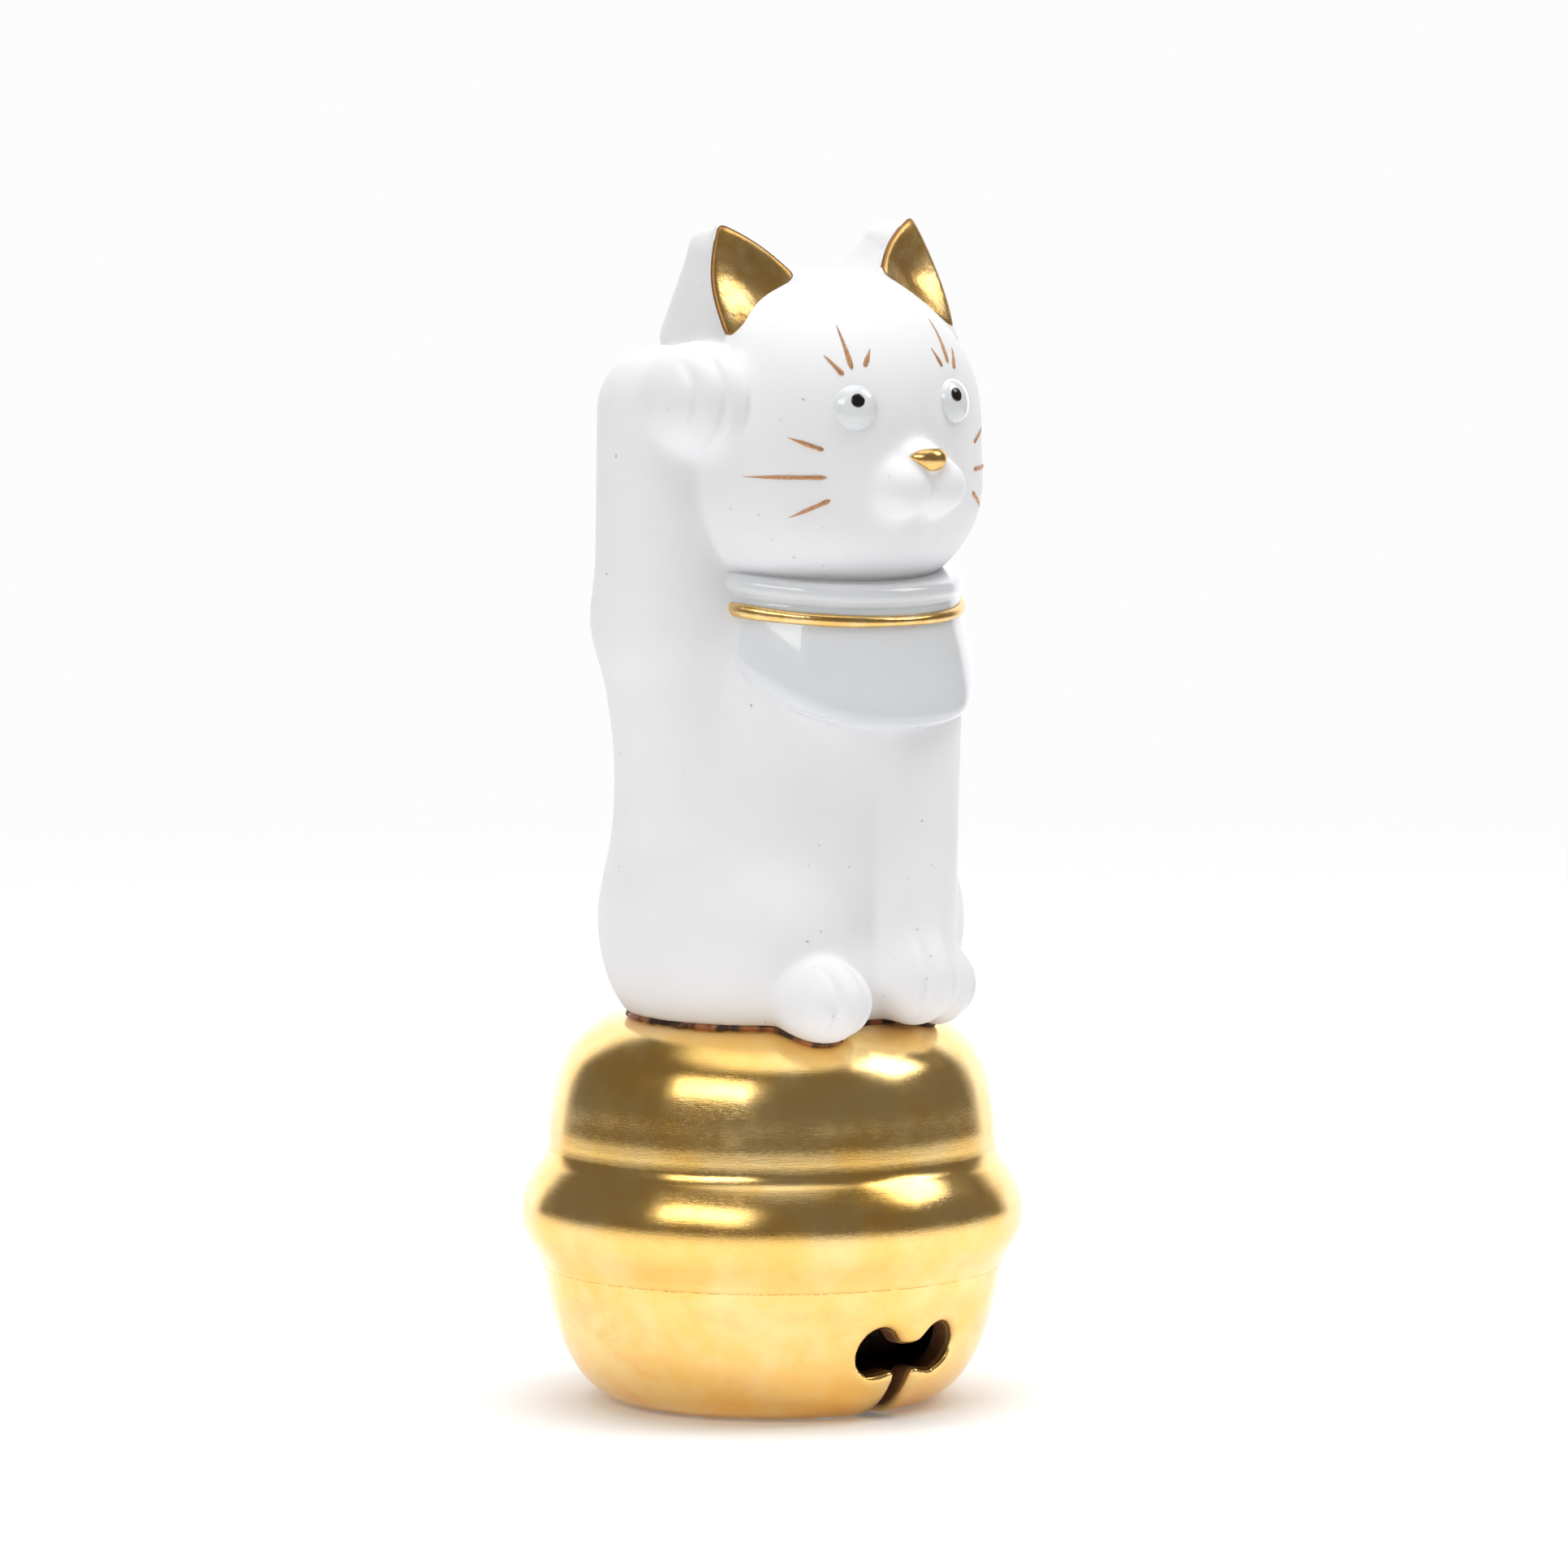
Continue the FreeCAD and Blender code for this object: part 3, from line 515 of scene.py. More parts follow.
class Tree:
    """A material's shader tree, built by plain calls."""

    def __init__(self, name: str) -> None:
        """Start an empty material with an output.

        Args:
            name: the material's name.
        """
        self.material = bpy.data.materials.new(name)
        self.material.use_nodes = True
        self.nodes = self.material.node_tree.nodes
        self.links = self.material.node_tree.links
        self.nodes.clear()
        self.output = self.nodes.new("ShaderNodeOutputMaterial")

    def node(self, kind: str, settings: dict, values: dict, output: int | str = 0) -> Signal:
        """Add a node.

        Args:
            kind: the node's type.
            settings: its own settings, set first.
            values: numbers, colours or signals of its inputs, by index or name.
            output: which output to return.

        Returns:
            The chosen output as a signal.
        """
        made = self.nodes.new(kind)
        for name, value in settings.items():
            setattr(made, name, value)
        for key, value in values.items():
            if isinstance(value, Signal):
                self.links.new(value.socket, made.inputs[key])
            else:
                made.inputs[key].default_value = value
        return Signal(self, made.outputs[output])

    def place(self, stretch: Point = (1.0, 1.0, 1.0)) -> Signal:
        """Object coordinates in millimetres, stretched along the axes.

        Args:
            stretch: scale along each axis.

        Returns:
            The coordinates.
        """
        place = self.node("ShaderNodeTexCoord", {}, {}, "Object")
        scale = tuple(part / MM for part in stretch)
        return self.node("ShaderNodeMapping", {}, {"Vector": place, "Scale": scale})

    def noise(self, place: Signal, scale: float, detail: float = 3.0, rough: float = 0.5) -> Signal:
        """Cloudy noise between nought and one.

        Args:
            place: coordinates.
            scale: clouds a millimetre.
            detail: how many finer layers it has.
            rough: how strong those are.

        Returns:
            The noise.
        """
        return self.node("ShaderNodeTexNoise", {},
                         {"Vector": place, "Scale": scale, "Detail": detail, "Roughness": rough})

    def mark(self, name: str) -> Signal:
        """A number that the piece's own points carry."""
        return self.node("ShaderNodeAttribute", {"attribute_name": name}, {}, "Fac")

    def blend(self, share: Signal | float, one: tuple | Signal, other: tuple | Signal) -> Signal:
        """Mix of two colours.

        Args:
            share: how much of the second colour there is.
            one: the first colour.
            other: the second colour.

        Returns:
            The mixed colour.
        """
        colours = [value if isinstance(value, Signal) else (*value, 1.0) for value in (one, other)]
        return self.node("ShaderNodeMix", {"data_type": "RGBA"}, {0: share, 6: colours[0], 7: colours[1]}, 2)

    def bump(self, height: Signal, strength: float, depth: float) -> Signal:
        """Bumped normal.

        Args:
            height: height between nought and one.
            strength: share of the effect.
            depth: what a height of one stands for, in millimetres.

        Returns:
            The normal.
        """
        return self.node("ShaderNodeBump", {},
                         {"Strength": strength, "Distance": depth * MM, "Height": height})

    def surface(self, **sockets: object) -> bpy.types.Material:
        """Finish the tree with a Principled shader whose sockets are given by name.

        Args:
            sockets: values or signals, with underscores for spaces.

        Returns:
            The material.
        """
        shader = self.node("ShaderNodeBsdfPrincipled", {},
                           {name.replace("_", " "): value for name, value in sockets.items()})
        self.links.new(shader.socket, self.output.inputs[0])
        return self.material


class Finish:
    """A finish that makes its material once."""

    _made: dict[str, bpy.types.Material] = {}

    def material(self) -> bpy.types.Material:
        """The finish's material, made at its first use.

        Returns:
            The material.
        """
        name = type(self).__name__
        if name not in Finish._made:
            Finish._made[name] = self.dress(Tree(name))
        return Finish._made[name]

    def dress(self, tree: Tree) -> bpy.types.Material:
        """Build the shader tree.

        Args:
            tree: an empty tree.

        Returns:
            The finished material.
        """
        raise NotImplementedError


@dataclass(frozen=True)
class Bisque(Finish):
    """White unglazed porcelain, matte, with a fine tooth and a few dark specks from the kiln."""

    white: tuple = (0.93, 0.935, 0.955)
    shade: tuple = (0.885, 0.88, 0.895)
    speck: tuple = (0.30, 0.27, 0.25)

    def dress(self, tree: Tree) -> bpy.types.Material:
        """Cloudy white with specks over a grainy bump.

        Args:
            tree: an empty tree.

        Returns:
            The finished material.
        """
        place = tree.place()
        clouds = tree.noise(place, 0.12).smooth(0.35, 0.75)
        colour = tree.blend(clouds * 0.35, self.white, self.shade)
        dots = tree.noise(place, 1.7, 0.0)
        specks = dots.smooth(0.865, 0.9)
        colour = tree.blend(specks * 0.6, colour, self.speck)
        grain = tree.noise(place, 7.0, 3.0, 0.6)
        return tree.surface(Base_Color=colour, Roughness=0.62 + grain * 0.12, IOR=1.5,
                            Specular_IOR_Level=0.35, Normal=tree.bump(grain, 0.35, 0.03))


@dataclass(frozen=True)
class CeladonGlaze(Finish):
    """Thick pale blue-grey glaze, clear and glossy, deeper in colour where it has pooled and where shade is
    painted into its creases.
    """

    thin: tuple = (0.82, 0.84, 0.865)
    # deeper tint: pooled glaze together with painted shade
    pooled_and_shaded: tuple = (0.68, 0.72, 0.75)

    def dress(self, tree: Tree) -> bpy.types.Material:
        """Glossy coat over a colour that deepens with the mark of pooled glaze and painted shade.

        Args:
            tree: an empty tree.

        Returns:
            The finished material.
        """
        place = tree.place()
        clouds = tree.noise(place, 0.25)
        # this mark carries real glaze pooling plus painted shade in the creases and under the head
        pool_and_shade = tree.mark("pool_and_shade")
        colour = tree.blend(pool_and_shade * 0.7 + clouds * 0.25, self.thin, self.pooled_and_shaded)
        ripple = tree.noise(place, 0.5, 1.0)
        return tree.surface(Base_Color=colour, Roughness=0.06 + clouds * 0.05, IOR=1.5,
                            Coat_Weight=0.6, Coat_Roughness=0.04,
                            Normal=tree.bump(ripple, 0.25, 0.06))


@dataclass(frozen=True)
class EyeGlaze(Finish):
    """Clear bluish-white drop of glaze, with painted shade that greys it towards its rim."""

    middle: tuple = (0.86, 0.89, 0.905)
    # rim colour: painted shade, a greyer white laid round the drop's edge
    rim: tuple = (0.79, 0.825, 0.845)

    def dress(self, tree: Tree) -> bpy.types.Material:
        """Glossy white that greys towards its rim as painted shade.

        Args:
            tree: an empty tree.

        Returns:
            The finished material.
        """
        # painted shade: the colour greys from the middle of the drop out to its rim
        colour = tree.blend(tree.mark("rim").smooth(0.55, 1.0), self.middle, self.rim)
        ripple = tree.noise(tree.place(), 1.2, 1.0)
        return tree.surface(Base_Color=colour, Roughness=0.05 + ripple * 0.04, IOR=1.5,
                            Coat_Weight=0.8, Coat_Roughness=0.03,
                            Normal=tree.bump(ripple, 0.2, 0.03))


@dataclass(frozen=True)
class PupilBlack(Finish):
    """Glossy black overglaze dot with a soft brown edge."""

    black: tuple = (0.006, 0.005, 0.005)
    edge: tuple = (0.06, 0.035, 0.02)

    def dress(self, tree: Tree) -> bpy.types.Material:
        """Black with a brown rim.

        Args:
            tree: an empty tree.

        Returns:
            The finished material.
        """
        colour = tree.blend(tree.mark("rim").smooth(0.8, 1.0), self.black, self.edge)
        return tree.surface(Base_Color=colour, Roughness=0.12 + tree.noise(tree.place(), 3.0) * 0.06,
                            Coat_Weight=0.5, Coat_Roughness=0.05)


@dataclass(frozen=True)
class GoldLustre(Finish):
    """Burnished gold lustre over glaze: mirror bright, finely scratched, with copper blushes."""

    gold: tuple = (1.0, 0.62, 0.17)
    pale: tuple = (1.0, 0.76, 0.36)
    copper: tuple = (0.86, 0.42, 0.16)
    wall: tuple = (0.20, 0.085, 0.035)
    porcelain: tuple = (0.80, 0.82, 0.86)

    def dress(self, tree: Tree) -> bpy.types.Material:
        """Gold that blushes to copper low down, brown inside the slot and bare under the foot.

        Args:
            tree: an empty tree.

        Returns:
            The finished material.
        """
        place = tree.place()
        clouds = tree.noise(place, 0.13, 4.0, 0.6)
        colour = tree.blend(clouds.smooth(0.32, 0.68) * 0.75, self.gold, self.pale)
        blush = tree.noise(tree.place((1.0, 1.0, 1.8)), 0.17, 5.0, 0.65).smooth(0.48, 0.66)
        height = tree.node("ShaderNodeSeparateXYZ", {}, {0: place}, 2)
        low = 1.0 - height.smooth(5.0, 18.0) * 0.8
        colour = tree.blend(blush * low * 0.3, colour, self.copper)
        streaks = tree.noise(tree.place((0.35, 0.35, 7.0)), 1.0, 3.0, 0.65)
        fine = tree.noise(tree.place((0.8, 0.8, 16.0)), 1.4, 2.0, 0.7)
        smear = tree.noise(place, 0.35, 4.0, 0.6).smooth(0.4, 0.8)
        rough = 0.10 + streaks * 0.11 + smear * 0.09
        inside = tree.mark("depth").smooth(0.35, 1.1)
        colour = tree.blend(inside, colour, self.wall)
        bare = (1.0 - (height + tree.noise(place, 0.6) * 1.0).smooth(0.3, 0.7)) * (1.0 - inside)
        colour = tree.blend(bare, colour, self.porcelain)
        metal = (1.0 - inside * 0.75) * (1.0 - bare)
        ripple = tree.noise(place, 0.22, 2.0, 0.5)
        relief = tree.bump(fine * 0.7 + streaks * 0.5 + ripple * 2.2, 0.6, 0.014)
        return tree.surface(Base_Color=colour, Metallic=metal, Roughness=rough + inside * 0.25 + bare * 0.3,
                            Normal=relief)


@dataclass(frozen=True)
class LeafGold(Finish):
    """Gold lustre on small raised details, smooth and rich, with a thin brown line at its rim."""

    gold: tuple = (0.84, 0.52, 0.17)
    pale: tuple = (0.92, 0.66, 0.30)
    rim: tuple = (0.33, 0.15, 0.05)

    def dress(self, tree: Tree) -> bpy.types.Material:
        """Bright gold that darkens at its rim.

        Args:
            tree: an empty tree.

        Returns:
            The finished material.
        """
        place = tree.place()
        clouds = tree.noise(place, 0.5, 3.0)
        colour = tree.blend(clouds.smooth(0.35, 0.7), self.gold, self.pale)
        edge = tree.mark("rim").smooth(0.86, 1.0)
        colour = tree.blend(edge * 0.85, colour, self.rim)
        ripple = tree.noise(place, 0.7, 3.0, 0.6)
        return tree.surface(Base_Color=colour, Metallic=1.0, Roughness=0.20 + clouds * 0.12 + edge * 0.2,
                            Normal=tree.bump(ripple, 0.5, 0.10))


@dataclass(frozen=True)
class BrushGold(Finish):
    """Gold paint put on in thin strokes over bisque: dull, coppery, and thin in places."""

    gold: tuple = (0.48, 0.24, 0.11)
    light: tuple = (0.68, 0.40, 0.23)

    def dress(self, tree: Tree) -> bpy.types.Material:
        """Copper gold with a grainy, half matte surface.

        Args:
            tree: an empty tree.

        Returns:
            The finished material.
        """
        place = tree.place()
        grain = tree.noise(place, 5.0, 3.0, 0.6)
        colour = tree.blend(grain.smooth(0.35, 0.7), self.gold, self.light)
        return tree.surface(Base_Color=colour, Metallic=0.55, Roughness=0.38 + grain * 0.2,
                            Normal=tree.bump(grain, 0.5, 0.03))


@dataclass(frozen=True)
class FiredJoint(Finish):
    """Dark brown fired joint with a copper glint."""

    dark: tuple = (0.035, 0.018, 0.010)
    copper: tuple = (0.42, 0.17, 0.07)

    def dress(self, tree: Tree) -> bpy.types.Material:
        """Brown and copper in patches.

        Args:
            tree: an empty tree.

        Returns:
            The finished material.
        """
        place = tree.place()
        patches = tree.noise(place, 0.5, 4.0, 0.6).smooth(0.42, 0.62)
        grain = tree.noise(place, 3.0, 3.0)
        colour = tree.blend(patches, self.dark, self.copper)
        return tree.surface(Base_Color=colour, Metallic=patches * 0.5, Roughness=0.35 + grain * 0.2,
                            Normal=tree.bump(grain, 0.6, 0.08))


@dataclass(frozen=True)
class PelletClay(Finish):
    """Rough fired clay ball."""

    clay: tuple = (0.55, 0.44, 0.33)
    dust: tuple = (0.70, 0.62, 0.52)

    def dress(self, tree: Tree) -> bpy.types.Material:
        """Dusty clay with a pitted bump.

        Args:
            tree: an empty tree.

        Returns:
            The finished material.
        """
        place = tree.place()
        grain = tree.noise(place, 2.0, 5.0, 0.6)
        colour = tree.blend(grain.smooth(0.35, 0.65), self.clay, self.dust)
        return tree.surface(Base_Color=colour, Roughness=0.8 + grain * 0.1, Normal=tree.bump(grain, 0.8, 0.15))


@dataclass(frozen=True)
class StudioPaper(Finish):
    """Pale floor."""

    white: tuple = (0.94, 0.94, 0.95)
    fade_start: float = 60.0
    fade_end: float = 560.0

    def dress(self, tree: Tree) -> bpy.types.Material:
        """Even matte white with a faint grain.

        Args:
            tree: an empty tree.

        Returns:
            The finished material.
        """
        grain = tree.noise(tree.place(), 0.4)
        colour = tree.blend(grain * 0.3, self.white, tuple(part * 0.985 for part in self.white))
        x, y = (tree.node("ShaderNodeSeparateXYZ", {}, {0: tree.place()}, axis) for axis in (0, 1))
        fade = 1.0 - (x * x + y * y).smooth(self.fade_start**2, self.fade_end**2)
        return tree.surface(Base_Color=colour, Roughness=0.75 + grain * 0.1, Specular_IOR_Level=0.2,
                            Alpha=fade, Emission_Color=(1.0, 1.0, 1.0, 1.0), Emission_Strength=0.12)


# ---------------------------------------------------------------- places from the frame


@dataclass(frozen=True)
class Site:
    """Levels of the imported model, in millimetres, that the pieces line up with."""

    seam: float
    seat: float
    neck: float

    @classmethod
    def read(cls) -> "Site":
        """Read the levels from the CAD nodes' boxes."""
        bowl, dome, head = (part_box(name) for name in ("bell_lower_bowl", "bell_upper_dome", "cat_head_shell"))
        return cls(bowl[1].z / MM, dome[1].z / MM, head[0].z / MM)


# ---------------------------------------------------------------- bell


@dataclass(frozen=True)
class Bell:
    """Gilt bell: a slotted lower bowl, an upper dome with a ridge, and the loose pellet."""

    site: Site
    wall: float = 2.8
    bowl_outline: tuple = ((13.8, 0.0), (16.1, 0.95), (18.2, 3.0), (19.8, 5.9), (20.8, 9.4), (21.5, 13.1))
    dome_outline: tuple = (
        (21.40, -0.3), (21.58, 0.0), (21.74, 0.4), (22.3, 1.4), (22.95, 2.5), (23.35, 3.6), (23.48, 4.8),
        (23.42, 5.8), (23.16, 6.85), (22.74, 7.85), (22.25, 8.7), (21.75, 9.45), (21.30, 10.05), (21.05, 10.6),
        (20.97, 11.2), (20.94, 12.0), (20.89, 12.9), (20.71, 14.2), (20.42, 16.2), (19.95, 18.1), (19.05, 20.0),
        (17.6, 21.6), (15.8, 22.8), (13.7, 23.4),
    )
    vent_radius: float = 1.5
    lobe_spread: float = 3.5
    slot_turn: float = 2.5
    lobe_radius: float = 2.15
    lobe_height: float = 6.9
    slit_half_width: float = 0.95
    around: int = 320

    def build(self) -> list[Piece]:
        """The bell's pieces."""
        return [self.bowl(), self.dome(), self.pellet()]

    def bowl_radius(self, height: Array) -> Array:
        """Outer radius of the bowl at a height: a cubic through its outline's points.

        Args:
            height: heights above the foot.

        Returns:
            Radii.
        """
        radius, level = np.array(self.bowl_outline).T
        curve = np.polynomial.Polynomial.fit(np.sqrt(level + 0.35), radius, 4)
        return curve(np.sqrt(np.clip(height, 0, level[-1]) + 0.35))

    def slot(self, at: Array) -> Array:
        """Distance outside the heart-shaped slot and its slit, seen from the front.

        Two round lobes, a bar between them that is notched from above, and a straight slit down
        from the bar, all run together softly.

        Args:
            at: points as rows.

        Returns:
            Distances in the plane of x and z.
        """
        turn = math.radians(self.slot_turn)
        across = np.abs(at[:, 0] * math.cos(turn) + at[:, 1] * math.sin(turn))
        up = at[:, 2] - self.lobe_height
        lobe = np.hypot(across - self.lobe_spread, up) - self.lobe_radius
        bar = np.maximum(across - self.lobe_spread, np.abs(up + 0.75) - 1.15)
        slit = np.maximum(across - self.slit_half_width, up + 0.6)
        return soft_least(soft_least(lobe, bar, 1.6), slit, 1.0)

    def bowl(self) -> Piece:
        """Lower bowl: the turned wall with the slot pressed through its front and back.

        Returns:
            The piece.
        """

        def outer(at: Array) -> Array:
            """Outside of the bowl: beyond its radius at that height, or under its foot.

            Args:
                at: points as rows.

            Returns:
                One distance a point, in millimetres.
            """
            radius = np.hypot(at[:, 0], at[:, 1])
            beyond = (radius - self.bowl_radius(at[:, 2])) * 0.8
            return -soft_least(-beyond, at[:, 2], 0.9)

        def inner(at: Array) -> Array:
            """Outside of the hollow: the same curve moved in by the wall, over a flat floor.

            Args:
                at: points as rows.

            Returns:
                One distance a point, in millimetres.
            """
            radius = np.hypot(at[:, 0], at[:, 1])
            beyond = radius - self.bowl_radius(at[:, 2] - self.wall / 2) + self.wall
            return -soft_least(-beyond, at[:, 2] - self.wall, 3.0)

        shell = Carved(Shaped(outer), Shaped(inner), 0.5)
        open_top = Shared(shell, Flat((0, 0, self.site.seam), (0, 0, 1)), 0.12)
        form = Carved(open_top, Shaped(self.slot), 1.5)
        reach = self.bowl_outline[-1][0] + 1
        points, faces = skinned(form, (-reach, -reach, -0.6), (reach, reach, self.site.seam + 0.6), 0.4)
        return Piece("bell_bowl", points, faces, GoldLustre(), "gold_lustre", ("bell_lower_bowl",),
                     unit(slope(form, points)), {"depth": np.maximum(-outer(points), 0)})

    def dome(self) -> Piece:
        """Upper dome: its outline carried round the axis, with a hollow inside and a vent on top.

        Returns:
            The piece.
        """
        outline = np.array(self.dome_outline)
        outside = curve_through(outline, 150) + np.array([0, self.site.seam])
        scale = np.where(outline[:, 1] > outline[-1, 1] - 2 * self.wall, 0.5, 1.0)
        hollow = outline - np.stack([self.wall * scale, np.zeros(len(outline))], -1)
        hollow[:, 1] = np.minimum(hollow[:, 1], outline[-1, 1] - self.wall)
        inside = curve_through(hollow, 60)[::-1] + np.array([0, self.site.seam])
        top = np.array([[self.vent_radius, self.site.seat], [self.vent_radius, self.site.seat - self.wall]])
        profile = np.concatenate([outside, top, inside])
        depth = np.concatenate([np.zeros(len(outside)), [0, 3], np.full(len(inside), 3.0)])
        points, faces = turned(profile, self.around, closed=True)
        return Piece("bell_dome", points, faces, GoldLustre(), "gold_lustre", ("bell_upper_dome",),
                     None, {"depth": np.repeat(depth, self.around)})

    def pellet(self) -> Piece:
        """Loose ball: a half circle carried round, its radius uneven by a few hundredths.

        Returns:
            The piece.
        """
        low, high = (np.array(corner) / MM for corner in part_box("bell_pellet"))
        centre, radius = (low + high) / 2, (high[2] - low[2]) / 2
        angle = np.linspace(0, math.pi, 40)
        profile = np.stack([np.sin(angle) * radius, np.cos(angle) * radius], -1)[::-1]
        profile[[0, -1], 0] = 1e-3
        points, faces = turned(profile, 64, closed=False)
        wobble = 1 - 0.012 * (1 + np.sin(points @ np.array([0.9, 1.3, 0.7]))) / 2
        points = points * wobble[:, None] + centre
        return Piece("pellet_ball", points, faces, PelletClay(), "pellet_clay", ("bell_pellet",))


def curve_through(points: Array, count: int) -> Array:
    """Smooth curve through points: cubic Hermite spans with Catmull-Rom tangents.

    Args:
        points: rows of coordinates.
        count: how many points the result has.

    Returns:
        Rows of coordinates, evenly spread over the spans' lengths.
    """
    points = np.asarray(points, float)
    length = np.concatenate([[0], np.cumsum(np.linalg.norm(np.diff(points, axis=0), axis=1))])
    tangent = np.gradient(points, length, axis=0)
    at = np.linspace(0, length[-1], count)
    span = np.clip(np.searchsorted(length, at, side="right") - 1, 0, len(points) - 2)
    width = (length[span + 1] - length[span])[:, None]
    share = (at - length[span])[:, None] / width
    first, second = points[span], points[span + 1]
    out, into = tangent[span] * width, tangent[span + 1] * width
    return ((2 * share**3 - 3 * share**2 + 1) * first + (share**3 - 2 * share**2 + share) * out
            + (3 * share**2 - 2 * share**3) * second + (share**3 - share**2) * into)


def turned(profile: Array, around: int, closed: bool) -> tuple[Array, Array]:
    """A profile of radius and height carried round the upright axis.

    Args:
        profile: rows of radius and height, anticlockwise in the radius-height plane.
        around: points in a turn.
        closed: whether the profile's last point joins its first.

    Returns:
        Points and faces that look outwards.
    """
    angle = np.arange(around) * 2 * math.pi / around
    radius, height = profile[:, :1], profile[:, 1:]
    points = np.stack([radius * np.cos(angle), radius * np.sin(angle), height + 0 * angle], -1)
    faces = grid_faces(len(profile), around, wraps=True)
    if closed:
        last = (len(profile) - 1) * around + np.arange(around)
        first = np.arange(around)
        seam = np.stack([last, np.roll(last, -1), np.roll(first, -1), first], -1)
        faces = np.concatenate([faces, seam])
    return points.reshape(-1, 3), faces


# ---------------------------------------------------------------- cat


@dataclass(frozen=True)
class CatForms:
    """The cat's modelled forms, as the clay was run together, in millimetres."""

    site: Site
    head_shift: float = 3.0
    head_forward: float = 3.6

    def rise(self, above: float) -> float:
        """Height of something that lies above the seat."""
        return self.site.seat + above

    @property
    def head_level(self) -> float:
        """Height of the skull's centre."""
        return self.site.neck + 14.8

    def body(self) -> Form:
        """Rump, chest, base and thighs.

        Returns:
            The form.
        """
        rise = self.rise
        return joined([
            (Egg((0.4, 1.0, rise(12.5)), (15.2, 14.6, 22.0)), 0),
            (Egg((2.6, -3.6, rise(31.5)), (12.6, 12.2, 17.0)), 6.0),
            (Egg((0.0, 0.0, rise(4.5)), (14.8, 14.8, 8.8)), 2.0),
            (Egg((-6.2, -0.5, rise(8.6)), (9.9, 14.0, 11.3)), 3.0),
            (Egg((8.2, -2.0, rise(9.0)), (8.2, 13.0, 11.5)), 3.0),
        ])

    def foreleg(self) -> Form:
        """Resting foreleg and its paw, with two toe creases.

        Returns:
            The form.
        """
        rise = self.rise
        limb = Limb((7.2, -10.2, rise(32.5)), (5.8, -14.0, rise(8.5)), 5.8, 3.9)
        paw = Joined(limb, Egg((4.8, -15.0, rise(4.5)), (4.1, 4.8, 4.6)), 2.5)
        return Grooved(paw, (4.8, -15.0, rise(4.5)), (4.1, 4.8, 4.6), (-1.5, 1.5))

    def hind_foot(self, side: Side) -> Form:
        """Hind foot with its toe creases.

        Args:
            side: which of the cat's own sides.

        Returns:
            The form.
        """
        rise = self.rise
        centre = (-5.8, -14.6, rise(2.9)) if side == Side.RIGHT else (8.6, -12.8, rise(3.5))
        radii = (4.3, 5.6, 4.0) if side == Side.RIGHT else (3.6, 5.4, 4.1)
        return Grooved(Egg(centre, radii), centre, radii, (-1.6, 1.4))

    def tail(self) -> Form:
        """Bobtail low on the back."""
        return Egg((0.4, 14.4, self.rise(9.0)), (4.2, 3.4, 4.2))

    def arm(self) -> Form:
        """Raised arm with the paw bent forwards over the wrist.

        Returns:
            The form.
        """
        rise, neck = self.rise, self.site.neck
        limb = Joined(Limb((-9.6, 0.8, rise(21.5)), (-11.5, 1.0, neck - 3.4), 6.0, 6.6),
                      Limb((-11.5, 1.0, neck - 3.4), (-12.0, 1.2, neck + 16.1), 6.8, 6.0), 3.0)
        centre, radii = (-11.4, -3.8, neck + 17.2), (5.8, 6.5, 5.5)
        return Grooved(Joined(limb, Egg(centre, radii, (-8, 0, -8)), 1.6), centre, radii, (-3.9, -1.7, 0.9))

    def skull(self) -> Form:
        """Skull and cheeks with no muzzle."""
        x, y, z = self.head_shift, -self.head_forward, self.head_level
        return Joined(Egg((x, y, z), (15.4, 14.2, 14.0)), Egg((x, y - 0.2, z - 6.3), (15.4, 14.0, 11.3)), 3.0)

    def head(self) -> Form:
        """Skull, cheeks, two muzzle lobes and the bridge of the nose.

        Returns:
            The form.
        """
        x, z = self.head_shift, self.head_level
        lobes = Joined(Egg((x - 2.1, -18.2, z - 5.4), (2.6, 2.8, 2.6)),
                       Egg((x + 2.1, -18.2, z - 5.4), (2.6, 2.8, 2.6)), 0.35)
        muzzle = Joined(lobes, Egg((x, -18.6, z - 2.8), (2.0, 2.1, 1.5)), 1.6)
        return Joined(self.skull(), muzzle, 2.4)

    def ear_face(self, side: Side) -> tuple[Array, Array, Array]:
        """The ends of an ear's gilt face: inner, outer and tip.

        Args:
            side: which of the cat's own sides.

        Returns:
            Three points.
        """
        x, level = self.head_shift, self.head_level
        return tuple(np.array([x + side * out, -ahead, level + up]) for out, ahead, up in (
            (5.0, 6.39, 13.6), (13.4, 6.76, 8.1), (11.4, 2.73, 18.7)))

    def ear_front(self, side: Side) -> Form:
        """The dished front of an ear: its plane, sunk by a bell curve about its middle.

        Args:
            side: which of the cat's own sides.

        Returns:
            The form.
        """
        inner, outer, tip = self.ear_face(side)
        middle = (inner + outer + tip) / 3
        plane = facing(inner, outer, tip, middle + np.array([0, 5.0, 0]))

        def dished(at: Array) -> Array:
            """Height over the plane plus the dish's depth."""
            return plane.outside(at) + 0.75 * np.exp(-((np.linalg.norm(at - middle, axis=-1) / 3.0) ** 2))
        return Shaped(dished)

